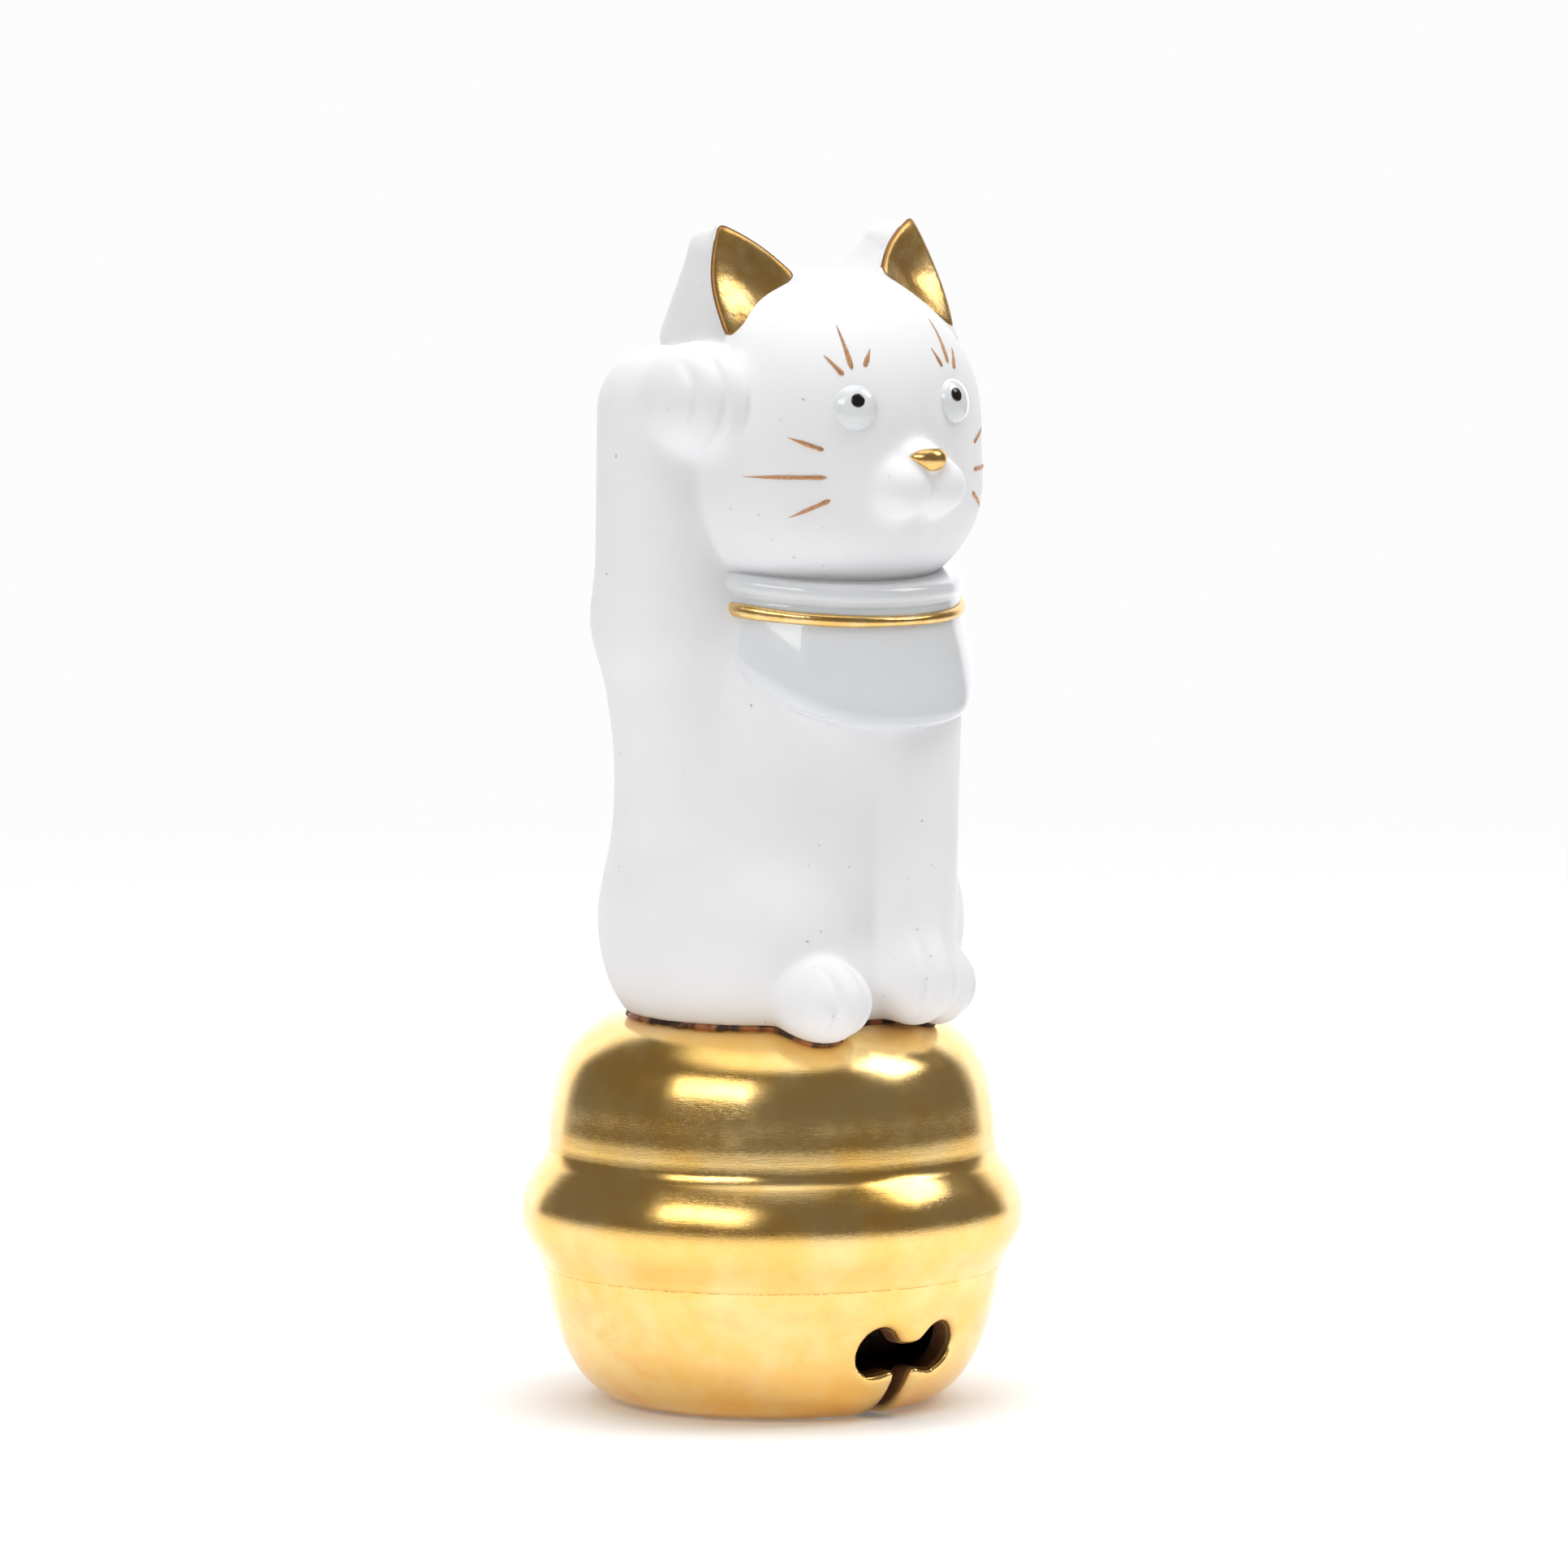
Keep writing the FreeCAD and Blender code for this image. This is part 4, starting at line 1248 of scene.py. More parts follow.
    def ear(self, side: Side) -> Form:
        """Ear: the dished face, two flanks that meet in a ridge behind, and a full round back.

        Args:
            side: which of the cat's own sides.

        Returns:
            The form.
        """
        x, level = self.head_shift, self.head_level
        face = self.ear_face(side)
        middle = sum(face) / 3
        growth = (1.10, 1.12, 1.20)
        inner, outer, tip = (middle + (corner - middle) * grow for corner, grow in zip(face, growth))
        root = np.array([x + side * 8.2, 5.5, level + 4.5])
        inside = (inner + outer + tip + root) / 4
        flanks = Shared(facing(inner, tip, root, inside), facing(outer, tip, root, inside), 3.0)
        hump = Limb((x + side * 10.3, -0.3, level + 15.8), (x + side * 8.0, 2.6, level + 8.0), 2.2, 4.9)
        back = Joined(flanks, hump, 3.0)
        low = np.array([x + side * 9.0, 7.0, level + 2.0])
        foot = facing(face[0] + (0, 0, -1.3), face[1] + (0, 0, -1.3), low, inside)
        return Shared(Shared(back, self.ear_front(side), 0.5), foot, 1.0)

    def parts(self) -> dict[str, tuple[Form, float]]:
        """Every bisque form by name, with the softness of its joint to those before it.

        Returns:
            Forms and softnesses by name.
        """
        return {
            "cat_body": (self.body(), 0.0),
            "cat_foreleg": (self.foreleg(), 2.5),
            "cat_right_hind_foot": (self.hind_foot(Side.RIGHT), 2.2),
            "cat_left_hind_foot": (self.hind_foot(Side.LEFT), 1.6),
            "cat_tail": (self.tail(), 2.0),
            "cat_raised_arm": (self.arm(), 6.0),
            "cat_head": (self.head(), 1.2),
            "cat_right_ear": (self.ear(Side.RIGHT), 1.6),
            "cat_left_ear": (self.ear(Side.LEFT), 1.6),
        }

    def whole(self) -> Form:
        """The cat in one form, cut off where it sits on the bell."""
        cat = joined(list(self.parts().values()))
        return Carved(cat, self.seat_tool(), 0.5)

    def seat_tool(self) -> Form:
        """The bell's shoulder, a hair high, that the cat's underside is pressed onto.

        Returns:
            The form.
        """
        lift = 0.35

        def shoulder(at: Array) -> Array:
            """Outside of a rounded drum with the bell's seat and shoulder.

            Args:
                at: points as rows.

            Returns:
                One distance a point, in millimetres.
            """
            beyond = np.hypot(at[..., 0], at[..., 1]) - 20.9
            above = at[..., 2] - self.site.seat - lift
            corner = 8.3
            out, up = np.maximum(beyond + corner, 0), np.maximum(above + corner, 0)
            return np.hypot(out, up) - corner + np.minimum(np.maximum(beyond, above) + corner, 0)
        return Shaped(shoulder)


def facing(a: Array, b: Array, c: Array, behind: Array) -> Flat:
    """The plane through three points, with a fourth behind it.

    Args:
        a: first point.
        b: second point.
        c: third point.
        behind: a point on the solid side.

    Returns:
        The plane.
    """
    normal = np.cross(b - a, c - a)
    if (behind - a) @ normal > 0:
        normal = -normal
    return Flat(tuple(a), tuple(normal))


@dataclass
class BisqueCat:
    """The unglazed cat: one skin, parted along its luted joints into closed pieces."""

    forms: CatForms
    step: float = 0.45
    skirt: float = 0.9
    hub_depth: float = 3.5
    nodes: tuple = (
        ("cat_body", ("cat_body_shell",)),
        ("cat_foreleg", ("resting_foreleg",)),
        ("cat_right_hind_foot", ("right_hind_foot",)),
        ("cat_left_hind_foot", ("left_hind_foot",)),
        ("cat_tail", ("tail",)),
        ("cat_raised_arm", ("raised_arm",)),
        ("cat_head", ("cat_head_shell",)),
        ("cat_right_ear", ("right_ear",)),
        ("cat_left_ear", ("left_ear",)),
    )

    def build(self) -> list[Piece]:
        """Skin the whole cat and part it by which form each face is nearest to.

        Returns:
            The pieces.
        """
        whole = self.forms.whole()
        level = self.forms.site.seat
        points, faces = skinned(whole, (-20, -23, level - 4), (20.5, 18, level + 77), self.step)
        normals = unit(slope(whole, points))
        middle = points[faces].mean(1)
        away = np.stack([form.outside(middle) for form, _ in self.forms.parts().values()])
        nearest = away.argmin(0)
        return [
            self.part(name, nodes, points, faces[nearest == number], normals)
            for number, (name, nodes) in enumerate(self.nodes)
        ]

    def part(self, name: str, nodes: tuple, points: Array, faces: Array, normals: Array) -> Piece:
        """One piece of the skin, closed inside by a fan from its rim to its inner middle.

        Args:
            name: the piece's name.
            nodes: the CAD nodes it stands for.
            points: all the skin's points.
            faces: the faces of this piece.
            normals: all the skin's normals.

        Returns:
            The closed piece.
        """
        used, small = np.unique(faces, return_inverse=True)
        small = small.reshape(faces.shape)
        own, normal = points[used], normals[used]
        edges = np.stack([small, np.roll(small, -1, 1)], -1).reshape(-1, 2)
        key = np.sort(edges, 1) @ np.array([len(used), 1])
        _, first, count = np.unique(key, return_index=True, return_counts=True)
        rim = edges[first[count == 1]]
        quads = small.tolist()
        if len(rim):
            lip, small_lip = np.unique(rim, return_inverse=True)
            sunk = own[lip] - normal[lip] * self.skirt
            hub = own[lip].mean(0) - normal[lip].mean(0) * self.hub_depth
            start = len(own)
            own = np.concatenate([own, sunk, hub[None]])
            normal = np.concatenate([normal, -normal[lip], [[0, 0, 1]]])
            pairs = small_lip.reshape(rim.shape) + start
            quads += [(b, a, c, d) for (a, b), (c, d) in zip(rim.tolist(), pairs.tolist())]
            quads += [(d, c, len(own) - 1) for c, d in pairs.tolist()]
        return Piece(name, own, LooseFaces(quads), Bisque(), "bisque", nodes, normal)


class LooseFaces(list):
    """Faces with three or four corners, kept as they are."""

    def tolist(self) -> list:
        """The faces as a plain list."""
        return list(self)


# ---------------------------------------------------------------- laid-on details


def swept(path: Array, outward: Array, width: Array, height: Array, around: int, closed: bool) -> tuple:
    """A flattened round section carried along a path.

    Each section is an ellipse: the half width goes to the side of the path, the half height
    outwards.

    Args:
        path: points of the middle line.
        outward: the way outwards at each of them.
        width: half width at each point.
        height: half height at each point.
        around: points round a section.
        closed: whether the path runs back into its start.

    Returns:
        Points and faces; an open sweep is capped at both ends.
    """
    if closed:
        along = np.roll(path, -1, 0) - np.roll(path, 1, 0)
    else:
        along = np.gradient(path, axis=0)
    side = unit(np.cross(outward, along))
    angle = np.arange(around) * 2 * math.pi / around
    across = side[:, None] * (np.cos(angle)[None, :, None] * width[:, None, None])
    rise = outward[:, None] * (np.sin(angle)[None, :, None] * height[:, None, None])
    points = (path[:, None] + across + rise).reshape(-1, 3)
    faces = grid_faces(len(path), around, wraps=True).tolist()
    last = (len(path) - 1) * around
    if closed:
        ring = np.arange(around)
        faces += np.stack([last + ring, last + np.roll(ring, -1), np.roll(ring, -1), ring], -1).tolist()
    else:
        faces += [list(range(around))[::-1], list(range(last, last + around))]
    return points, LooseFaces(faces)


def evenly(corners: Array, count: int, softness: int) -> Array:
    """A closed polygon resampled evenly and averaged over its neighbours, which rounds its corners.

    Args:
        corners: the polygon's corners.
        count: number of points wanted.
        softness: half the number of neighbours averaged, twice over.

    Returns:
        The rounded outline.
    """
    ring = np.concatenate([corners, corners[:1]])
    length = np.concatenate([[0], np.cumsum(np.linalg.norm(np.diff(ring, axis=0), axis=1))])
    at = np.linspace(0, length[-1], count, endpoint=False)
    outline = np.stack([np.interp(at, length, ring[:, axis]) for axis in range(ring.shape[1])], -1)
    for _ in range(2):
        outline = np.mean([np.roll(outline, shift, 0) for shift in range(-softness, softness + 1)], 0)
    return outline


@dataclass(frozen=True)
class Cushion:
    """A thin cushion of glaze or gold laid on a form, thickest in the middle."""

    outline: Array
    outward: Array
    base: Form
    height: float
    sink: float = 0.35
    roundness: float = 2.0
    rings: int = 14

    def mesh(self) -> tuple[Array, Array, Array]:
        """Rings from the middle to the outline, laid on the form and raised off it.

        The rise is the height times the square root of one less the ring's share to a power.

        Returns:
            Points, faces and each point's share of the way to the outline.
        """
        middle = self.outline.mean(0)
        share = (np.arange(self.rings + 1) / self.rings)[:, None, None]
        flat = middle + share * (self.outline - middle)
        surface = laid(self.base, flat.reshape(-1, 3), -self.outward)
        away = unit(slope(self.base, surface))
        share = np.repeat(share.ravel(), len(self.outline))
        rise = self.height * np.sqrt(np.clip(1 - share**self.roundness, 0, 1))
        count = len(self.outline)
        top, bottom = surface + away * rise[:, None], surface - away * self.sink
        rows = [top[:1], top[count:], bottom[-count:], bottom[:1]]
        points = np.concatenate(rows)
        faces = grid_faces(self.rings + 1, count, wraps=True)[:, ::-1] + 1
        ring = np.arange(count)
        turn = np.roll(ring, -1)
        last = 1 + self.rings * count
        hub, end = np.zeros(count, int), np.full(count, len(points) - 1)
        fans = np.concatenate([np.stack([hub, ring + 1, turn + 1], -1),
                               np.stack([end, last + turn, last + ring], -1)])
        marks = np.concatenate([[0], share[count:], np.ones(count), [1]])
        return points, LooseFaces(faces.tolist() + fans.tolist()), marks


@dataclass
class Face:
    """Eyes, nose gilding, brow and whisker strokes, and the gilt ear faces."""

    forms: CatForms
    eye_radius: float = 2.1
    eye_height: float = 0.95
    pupil_radius: float = 0.66
    stroke_width: float = 0.46
    stroke_height: float = 0.13
    brows: tuple = (
        (((6.64, -15.37, 4.99), (7.73, -13.75, 6.82)), ((6.25, -15.51, 5.09), (7.29, -13.90, 6.99))),
        (((5.77, -15.54, 5.47), (5.47, -12.75, 9.48)), ((5.43, -15.42, 5.54), (5.68, -12.45, 9.65))),
        (((4.38, -15.27, 5.40), (3.31, -14.72, 6.98)), ((4.40, -15.89, 5.32), (3.62, -15.13, 7.04))),
    )
    whiskers: tuple = (
        (((8.85, -15.29, -1.85), (11.49, -13.12, -0.64)),) * 2,
        (((8.65, -15.50, -4.35), (14.04, -9.72, -4.36)),) * 2,
        (((8.38, -15.62, -6.43), (11.30, -12.98, -8.09)),) * 2,
    )

    def spot(self, side: Side, place: Point) -> Array:
        """A point given by its spread from the head's middle, its depth and its rise over the skull."""
        return np.array([self.forms.head_shift + side * place[0], place[1], self.forms.head_level + place[2]])

    def build(self) -> list[Piece]:
        """All the details laid on the head.

        Returns:
            The pieces.
        """
        pieces = [self.nose()]
        for side in Side:
            pieces += [*self.eye(side), self.ear_gold(side)]
            pieces.append(self.strokes(side, "brow", self.brows))
            pieces.append(self.strokes(side, "whisker", self.whiskers))
        return pieces

    def disc(self, base: Form, place: Array, radius: float) -> tuple[Array, Array]:
        """Round outline over a form.

        Args:
            base: the form.
            place: a point near the middle of the disc.
            radius: its radius.

        Returns:
            The outline's points and the way outwards.
        """
        place = settled(base, place[None])
        outward = unit(slope(base, place))[0]
        across = unit(np.cross([0, 0, 1], outward)[None])[0]
        up = np.cross(outward, across)
        angle = np.arange(72)[:, None] * 2 * math.pi / 72
        return place + radius * (np.cos(angle) * across + np.sin(angle) * up), outward

    def eye(self, side: Side) -> list[Piece]:
        """Domed drop of glaze with a black pupil on its middle.

        Args:
            side: which of the cat's own sides.

        Returns:
            The pieces.
        """
        head = self.forms.head()
        place = self.spot(side, EYE_PLACES[side])
        outline, outward = self.disc(head, place, self.eye_radius)
        centre = outline.mean(0)

        def domed(at: Array) -> Array:
            """The head's distance less the dome's height over its own disc.

            Args:
                at: points as rows.

            Returns:
                One distance a point, in millimetres.
            """
            away = at - centre
            across = away - (away @ outward)[..., None] * outward
            share = np.linalg.norm(across, axis=-1) / self.eye_radius
            return head.outside(at) - self.eye_height * np.sqrt(np.clip(1 - share**2, 0, 1))

        name = side.label
        points, faces, marks = Cushion(outline, outward, head, self.eye_height, 0.5).mesh()
        eye = Piece(f"{name}_eye_drop", points, faces, EyeGlaze(), "eye_glaze", (f"{name}_eye",),
                    None, {"rim": marks})
        dome = Shaped(domed)
        dot, outward = self.disc(dome, self.spot(side, (PUPIL_OUT[side], -17.2, 2.75)), self.pupil_radius)
        points, faces, marks = Cushion(dot, outward, dome, 0.1, 0.2).mesh()
        pupil = Piece(f"{name}_pupil_dot", points, faces, PupilBlack(), "pupil_black", (f"{name}_pupil",),
                      None, {"rim": marks})
        return [eye, pupil]

    def nose(self) -> Piece:
        """Rounded gilt triangle on the tip of the muzzle.

        Returns:
            The piece.
        """
        corners = np.array([self.spot(Side.LEFT, place) for place in (
            (-2.2, -20.0, -2.35), (-1.6, -20.0, -3.2), (-0.65, -20.0, -3.9), (0.65, -20.0, -3.9),
            (1.6, -20.0, -3.2), (2.2, -20.0, -2.35), (1.3, -20.0, -1.85), (-1.3, -20.0, -1.85))])
        outline = evenly(corners, 96, 3)
        points, faces, marks = Cushion(outline, np.array([0, -1.0, 0.15]), self.forms.head(), 0.42).mesh()
        return Piece("nose_gold", points, faces, LeafGold(), "gold_lustre", ("nose_gilding",),
                     None, {"rim": marks * 0.8})

    def ear_gold(self, side: Side) -> Piece:
        """Gilt face of an ear: a rounded triangle with bowed edges.

        Args:
            side: which of the cat's own sides.

        Returns:
            The piece.
        """
        inner, outer, tip = self.forms.ear_face(side)
        normal = unit(np.cross(outer - inner, tip - inner)[None])[0]
        if normal[1] > 0:
            normal = -normal
        centre = (inner + outer + tip) / 3

        def bowed(start: Array, end: Array, bow: float) -> Array:
            """Edge from start to end that bows away from the middle as a half sine.

            Args:
                start: first point of the edge.
                end: last point of the edge.
                bow: how far its middle bows out.

            Returns:
                The edge's points.
            """
            share = np.linspace(0, 1, 20, endpoint=False)[:, None]
            out = (start + end) / 2 - centre
            out = unit((out - (out @ unit((end - start)[None])[0]) * unit((end - start)[None])[0])[None])
            return start + share * (end - start) + out * bow * np.sin(math.pi * share)

        corners = np.concatenate([bowed(inner, outer, 0.15), bowed(outer, tip, 1.0), bowed(tip, inner, 0.6)])
        outline = evenly(corners, 160, 3)
        if np.cross(outline[1] - outline[0], outline[40] - outline[0]) @ normal < 0:
            outline = outline[::-1]
        points, faces, marks = Cushion(outline, normal, self.forms.ear_front(side), 0.16, 0.3, 12.0).mesh()
        name = side.label
        return Piece(f"{name}_ear_gold", points, faces, LeafGold(), "gold_lustre", (f"{name}_ear_gilding",),
                     None, {"rim": marks})

    def strokes(self, side: Side, kind: str, places: tuple) -> Piece:
        """Three brush strokes, blunt at the inner end and drawn out to a point.

        Args:
            side: which of the cat's own sides.
            kind: what the strokes are, for the piece's name.
            places: ends of each stroke, for the right side and the left.

        Returns:
            The piece.
        """
        head = self.forms.head()
        all_points, all_faces, count = [], [], 0
        share = np.linspace(0, 1, 28)
        for start, end in (pair[0] if side == Side.RIGHT else pair[1] for pair in places):
            path = self.spot(side, start) + share[:, None] * (self.spot(side, end) - self.spot(side, start))
            path = settled(head, path, 8)
            outward = unit(slope(head, path))
            swell = np.sqrt(np.clip(share / 0.1, 0, 1)) * (1 - share**2.2) + 0.04
            swell *= 1 + 0.12 * np.sin(9 * share + start[0])
            points, faces = swept(path, outward, swell * self.stroke_width / 2,
                                  np.full(28, self.stroke_height) * np.sqrt(swell), 12, closed=False)
            all_points.append(points)
            all_faces += [[corner + count for corner in face] for face in faces]
            count += len(points)
        name = side.label
        return Piece(f"{name}_{kind}_strokes", np.concatenate(all_points), LooseFaces(all_faces),
                     BrushGold(), "painted_gold", (f"{name}_{kind}_lines",))


@dataclass
class Bib:
    """Glazed stand-up collar, the flared bib under it and the gold line between them."""

    site: Site
    axis: tuple = (3.0, -3.6)
    radius: float = 12.95
    tilt: float = 0.105
    line_drop: float = 1.75
    flare: float = 0.20
    edge_half_width: float = 13.8
    edge_drop: float = 9.9
    edge_power: float = 3.1
    step: float = 0.4

    def build(self) -> list[Piece]:
        """Collar, bib and line."""
        return [self.collar(), self.flap(), self.line()]

    def about(self, at: Array) -> tuple[Array, Array]:
        """Distance from the neck's axis, and depth under the tilted level of the gold line.

        Args:
            at: points as rows.

        Returns:
            Distances and depths.
        """
        away = at[..., :2] - np.array(self.axis)
        level = self.site.neck - self.line_drop + self.tilt * away[..., 1]
        return np.hypot(away[..., 0], away[..., 1]), level - at[..., 2]

    def flap_form(self) -> Form:
        """Bib: flared from the line, cut to a rounded U, thick and round at its edge.

        Returns:
            The form.
        """
        def cone(at: Array) -> Array:
            """Outside of the flared skirt."""
            radius, drop = self.about(at)
            belly = 0.25 * np.sin(np.clip(drop, 0, 9) / 9 * math.pi)
            return (radius - self.radius - self.flare * drop - belly) * 0.97

        def hem(at: Array) -> Array:
            """Outside of the U: the scaled length in the plane of x and drop, less one.

            Args:
                at: points as rows.

            Returns:
                One distance a point, in millimetres.
            """
            _, drop = self.about(at)
            across = np.abs(at[..., 0] - self.axis[0]) / self.edge_half_width
            down = np.maximum(drop, 0) / self.edge_drop
            length = (across**self.edge_power + down**self.edge_power) ** (1 / self.edge_power)
            return (length - 1) * self.edge_drop

        def bounds_of(at: Array) -> Array:
            """Under the line, in front of the shoulders and clear of the middle."""
            radius, drop = self.about(at)
            return np.maximum(np.maximum(-drop - 0.2, at[..., 1] + 1.4), 9.5 - radius)

        return Shared(Shared(Shaped(cone), Shaped(hem), 2.6), Shaped(bounds_of), 0.4)

    def flap(self) -> Piece:
        """The bib's skin; its mark deepens the colour at the hem and under the line, as pooled glaze and
        painted shade.

        Returns:
            The piece.
        """
        form = self.flap_form()
        low, high = (-14.5, -22.0, self.site.neck - 17.5), (20.0, -0.5, self.site.neck - 1.5)
        points, faces = skinned(form, low, high, self.step)
        _, drop = self.about(points)
        # pooled glaze and painted shade: darker at the hem and in the crease under the gold line
        pool_and_shade = np.clip((drop - 6.5) / 4, 0, 1) * 0.6 + np.clip(1 - drop / 1.6, 0, 1) * 0.8
        return Piece("bib_cloth", points, faces, CeladonGlaze(), "celadon_glaze", ("bib_flap",),
                     unit(slope(form, points)), {"pool_and_shade": pool_and_shade})

    def collar(self) -> Piece:
        """Stand-up collar: a band with a soft fold over the gold line and a rounded top.

        Returns:
            The piece.
        """
        def band(at: Array) -> Array:
            """Outside of the band's bulged wall.

            Args:
                at: points as rows.

            Returns:
                One distance a point, in millimetres.
            """
            radius, drop = self.about(at)
            up = -drop
            bulge = 0.35 * np.sin(np.clip(up / 5.0, 0, 1) * math.pi) - 0.35 * np.exp(-(((up - 1.3) / 0.5) ** 2))
            return radius - self.radius - bulge

        def ends(at: Array) -> Array:
            """Above the line, under the collar's top and clear of the middle."""
            radius, drop = self.about(at)
            return np.maximum(np.maximum(drop - 0.1, -drop - 3.3), 10.0 - radius)

        form = Shared(Shaped(band), Shaped(ends), 1.6)
        low, high = (-12.5, -19.0, self.site.neck - 6.5), (18.0, 11.5, self.site.neck + 4.0)
        points, faces = skinned(form, low, high, self.step)
        _, drop = self.about(points)
        # pooled glaze and painted shade: darker in the fold over the gold line and at the top, under the head
        pool_and_shade = np.exp(-(((-drop - 1.2) / 0.6) ** 2)) * 0.9 + np.clip((-drop - 3.4) / 1.5, 0, 1) * 0.5
        return Piece("collar_band", points, faces, CeladonGlaze(), "celadon_glaze", ("neck_collar",),
                     unit(slope(form, points)), {"pool_and_shade": pool_and_shade})

    def line(self) -> Piece:
        """Raised gold line along the top of the bib, drawn thinner at its ends.

        Returns:
            The piece.
        """
        angle = np.linspace(math.radians(187), math.radians(353), 160)
        radius = self.radius + 0.12
        out = np.stack([np.cos(angle), np.sin(angle), 0 * angle], -1)
        path = out * radius + np.array([*self.axis, self.site.neck - self.line_drop])
        path[:, 2] += self.tilt * out[:, 1] * radius
        share = np.linspace(0, 1, 160)
        ends = np.sqrt(np.clip(np.minimum(share, 1 - share) / 0.012, 0.04, 1))
        width = (0.55 + 0.08 * np.sin(7 * share + 1) + 0.03 * np.sin(23 * share)) * ends
        points, faces = swept(path, out, width, 0.42 * ends, 20, closed=False)
        return Piece("gold_line", points, faces, LeafGold(), "gold_lustre", ("bib_gold_line",),
                     None, {"rim": np.zeros(len(points))})


@dataclass
class SeatJoint:
    """Fired bead that runs round the cat where it stands on the bell."""

    forms: CatForms
    flat_radius: float = 12.6
    shoulder_radius: float = 8.3
    shoulder_turn: float = 1.35
    reach: tuple = (8, 21)
    around: int = 420
    steps: int = 240
    half_width: float = 0.42
    half_height: float = 0.34

    def build(self) -> list[Piece]:
        """Bead along the outermost points of the bell's shoulder that the cat covers.

        From the middle of the seat, the bell's surface is followed outwards at every angle: flat,
        then over the rounded shoulder. The bead lies where the cat's form is left for the last
        time. Its thickness wavers as a sum of three sines.

        Returns:
            The pieces.
        """
        site = self.forms.site
        cat = joined(list(self.forms.parts().values()))
        count, steps, shoulder = self.around, self.steps, self.shoulder_radius
        angle = np.arange(count) * 2 * math.pi / count
        run = np.linspace(*self.reach, steps)
        turn = np.clip((run - self.flat_radius) / shoulder, 0, 1) * self.shoulder_turn
        radius = np.where(run < self.flat_radius, run, self.flat_radius + shoulder * np.sin(turn))
        height = site.seat + 0.1 - shoulder * (1 - np.cos(turn))
        way = np.stack([np.cos(angle), np.sin(angle)], -1)
        points = np.empty((count, steps, 3))
        points[..., :2] = way[:, None] * radius[None, :, None]
        points[..., 2] = height[None]
        inside = cat.outside(points.reshape(-1, 3)).reshape(count, steps) < 0
        last = steps - 1 - np.argmax(inside[:, ::-1], 1)
        last = np.where(inside.any(1), last, 60)
        smooth = last.astype(float)
        for _ in range(2):
            smooth = np.mean([np.roll(smooth, shift) for shift in range(-3, 4)], 0)
        pick = np.clip(smooth, 0, steps - 1)
        floor = np.floor(pick).astype(int)
        part = (pick - floor)[:, None]
        row = np.arange(count)
        path = points[row, floor] * (1 - part) + points[row, np.minimum(floor + 1, steps - 1)] * part
        outward = unit(path - np.array([0, 0, site.seat - shoulder]))
        waver = 1 + 0.3 * np.sin(9 * angle + 1) + 0.25 * np.sin(23 * angle) + 0.2 * np.sin(41 * angle + 2)
        high = self.half_height * np.sqrt(np.abs(waver))
        mesh, faces = swept(path, outward, self.half_width * waver, high, 12, closed=True)
        return [Piece("seat_bead", mesh, faces, FiredJoint(), "seat_joint", ("seat_lute",))]


# ---------------------------------------------------------------- stage


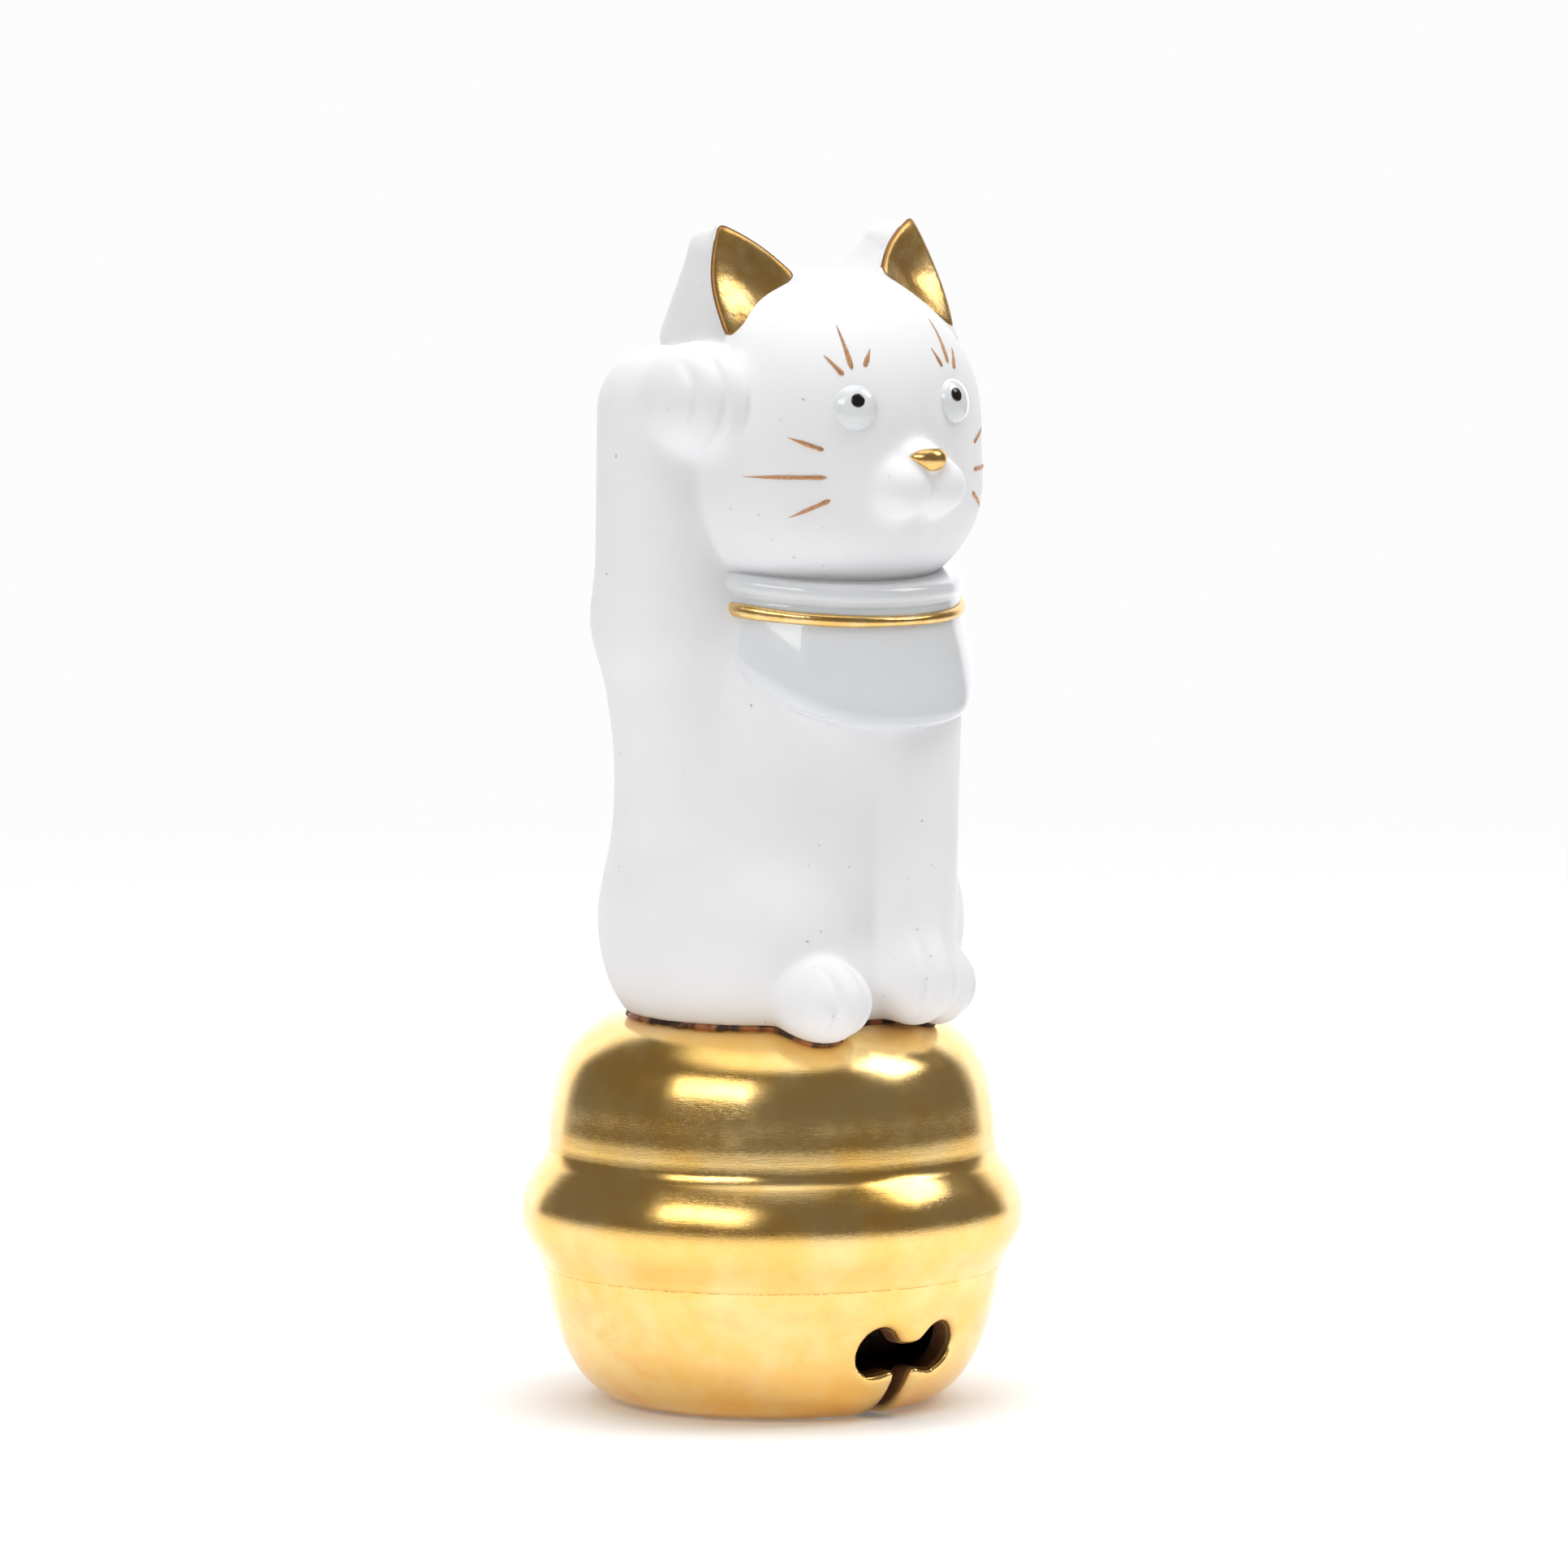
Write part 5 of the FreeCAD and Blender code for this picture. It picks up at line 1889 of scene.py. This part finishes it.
@dataclass(frozen=True)
class Studio:
    """Pale floor, soft lights and the camera."""

    azimuth: float = -38.0
    distance: float = 1000.0
    camera_height: float = 158.0
    aim_height: float = 58.0
    aim_shift: float = 1.13
    lens: float = 246.5
    backdrop: tuple = (0.98, 0.98, 0.985, 1)
    room: tuple = (0.175, 0.16, 0.14, 1)
    sky: tuple = (1.36, 1.38, 1.43, 1)
    wall_rise: tuple = (0.66, 0.80)
    ceiling_rise: tuple = (0.84, 0.95)

    def build(self) -> None:
        """Set the stage."""
        self.floor()
        self.camera()
        self.world()
        key = Softbox("key", azimuth=-35, elevation=32, distance=900, width=820, height=420, power=0.4)
        core = Softbox("core", azimuth=-35, elevation=32, distance=895, width=620, height=260, power=1.6)
        fill = Softbox("fill", azimuth=92, elevation=45, distance=900, width=380, height=420, power=1.9)
        top = Softbox("top", azimuth=0, elevation=88, distance=850, width=900, height=640, power=4.4,
                      mirrored=False)
        for light in (key, core, fill, top):
            light.build(self.azimuth)
        bpy.context.scene.view_settings.view_transform = "Standard"

    def floor(self) -> None:
        """A wide level disc that fades into the white room."""
        radius = np.linspace(0.5, 620, 24)
        profile = np.stack([radius, 0 * radius], -1)[::-1]
        points, faces = turned(profile, 96, closed=False)
        mesh = bpy.data.meshes.new("studio_floor")
        mesh.from_pydata((points * MM).tolist(), [], faces.tolist())
        mesh.materials.append(StudioPaper().material())
        floor = bpy.data.objects.new("studio_floor", mesh)
        bpy.context.scene.collection.objects.link(floor)

    def camera(self) -> None:
        """A long lens, level with the cat's head and looking a little down."""
        angle = math.radians(self.azimuth)
        back = Vector((math.sin(angle), -math.cos(angle), 0))
        right = Vector((math.cos(angle), math.sin(angle), 0))
        place = back * self.distance + Vector((0, 0, self.camera_height))
        aim = Vector((0, 0, self.aim_height)) + right * self.aim_shift
        data = bpy.data.cameras.new("camera")
        data.lens = self.lens
        data.clip_end = 20
        camera = bpy.data.objects.new("camera", data)
        camera.matrix_world = aimed(place, aim)
        bpy.context.scene.collection.objects.link(camera)
        bpy.context.scene.camera = camera

    def world(self) -> None:
        """White paper all round behind the cat, and a dim room on the camera's side."""
        world = bpy.data.worlds.new("studio")
        bpy.context.scene.world = world
        world.use_nodes = True
        nodes, links = world.node_tree.nodes, world.node_tree.links
        nodes.clear()
        out = nodes.new("ShaderNodeOutputWorld")
        mix = nodes.new("ShaderNodeMixShader")
        seen, room = nodes.new("ShaderNodeBackground"), nodes.new("ShaderNodeBackground")
        seen.inputs[0].default_value = self.backdrop
        ray = nodes.new("ShaderNodeLightPath")
        place = nodes.new("ShaderNodeTexCoord")
        dot = nodes.new("ShaderNodeVectorMath")
        dot.operation = "DOT_PRODUCT"
        angle = math.radians(self.azimuth)
        dot.inputs[1].default_value = (-math.sin(angle), math.cos(angle), 0.12)
        ramp, above = nodes.new("ShaderNodeMapRange"), nodes.new("ShaderNodeMapRange")
        for rise, (start, end) in ((ramp, self.wall_rise), (above, self.ceiling_rise)):
            rise.interpolation_type = "SMOOTHSTEP"
            for index, value in enumerate((0.0, start, end, 0.0, 1.0)):
                rise.inputs[index].default_value = value
        height = nodes.new("ShaderNodeSeparateXYZ")
        either = nodes.new("ShaderNodeMath")
        either.operation = "MAXIMUM"
        level = nodes.new("ShaderNodeMixRGB")
        level.inputs[1].default_value = self.room
        level.inputs[2].default_value = self.sky
        links.new(place.outputs["Generated"], dot.inputs[0])
        links.new(dot.outputs["Value"], ramp.inputs[0])
        links.new(place.outputs["Generated"], height.inputs[0])
        links.new(height.outputs[2], above.inputs[0])
        links.new(ramp.outputs[0], either.inputs[0])
        links.new(above.outputs[0], either.inputs[1])
        links.new(either.outputs[0], level.inputs[0])
        links.new(level.outputs[0], room.inputs["Color"])
        links.new(ray.outputs["Is Camera Ray"], mix.inputs[0])
        links.new(room.outputs[0], mix.inputs[1])
        links.new(seen.outputs[0], mix.inputs[2])
        links.new(mix.outputs[0], out.inputs[0])


@dataclass(frozen=True)
class Softbox:
    """A square soft light that looks at the cat."""

    name: str
    azimuth: float
    elevation: float
    distance: float
    width: float
    height: float
    power: float
    mirrored: bool = True

    def build(self, camera_azimuth: float) -> None:
        """Hang the light.

        Args:
            camera_azimuth: the camera's azimuth, from which the light's is counted.
        """
        angle, tilt = math.radians(camera_azimuth + self.azimuth), math.radians(self.elevation)
        way = Vector((math.sin(angle) * math.cos(tilt), -math.cos(angle) * math.cos(tilt), math.sin(tilt)))
        aim = Vector((0, 0, 60))
        data = bpy.data.lights.new(self.name, "AREA")
        data.shape = "RECTANGLE"
        data.size, data.size_y = self.width * MM, self.height * MM
        data.energy = self.power
        lamp = bpy.data.objects.new(self.name, data)
        lamp.visible_glossy = self.mirrored
        place = aim + way * self.distance
        lamp.matrix_world = aimed(place, aim)
        bpy.context.scene.collection.objects.link(lamp)


def aimed(place: Vector, aim: Vector) -> Matrix:
    """Matrix that puts something at a place and points it at another.

    Args:
        place: where it stands, in millimetres.
        aim: what it looks at, in millimetres.

    Returns:
        The matrix, in metres.
    """
    turn = (aim - place).to_track_quat("-Z", "Y").to_matrix().to_4x4()
    return Matrix.Translation(place * MM) @ turn


def main() -> None:
    """Build the bell, the cat and the stage."""
    logging.basicConfig(level=logging.INFO, format="%(name)s %(message)s")
    site = Site.read()
    forms = CatForms(site)
    pieces = Bell(site).build() + BisqueCat(forms).build() + Face(forms).build()
    pieces += Bib(site).build() + SeatJoint(forms).build()
    for piece in pieces:
        piece.make()
    Studio().build()


if __name__ == "__main__":
    main()
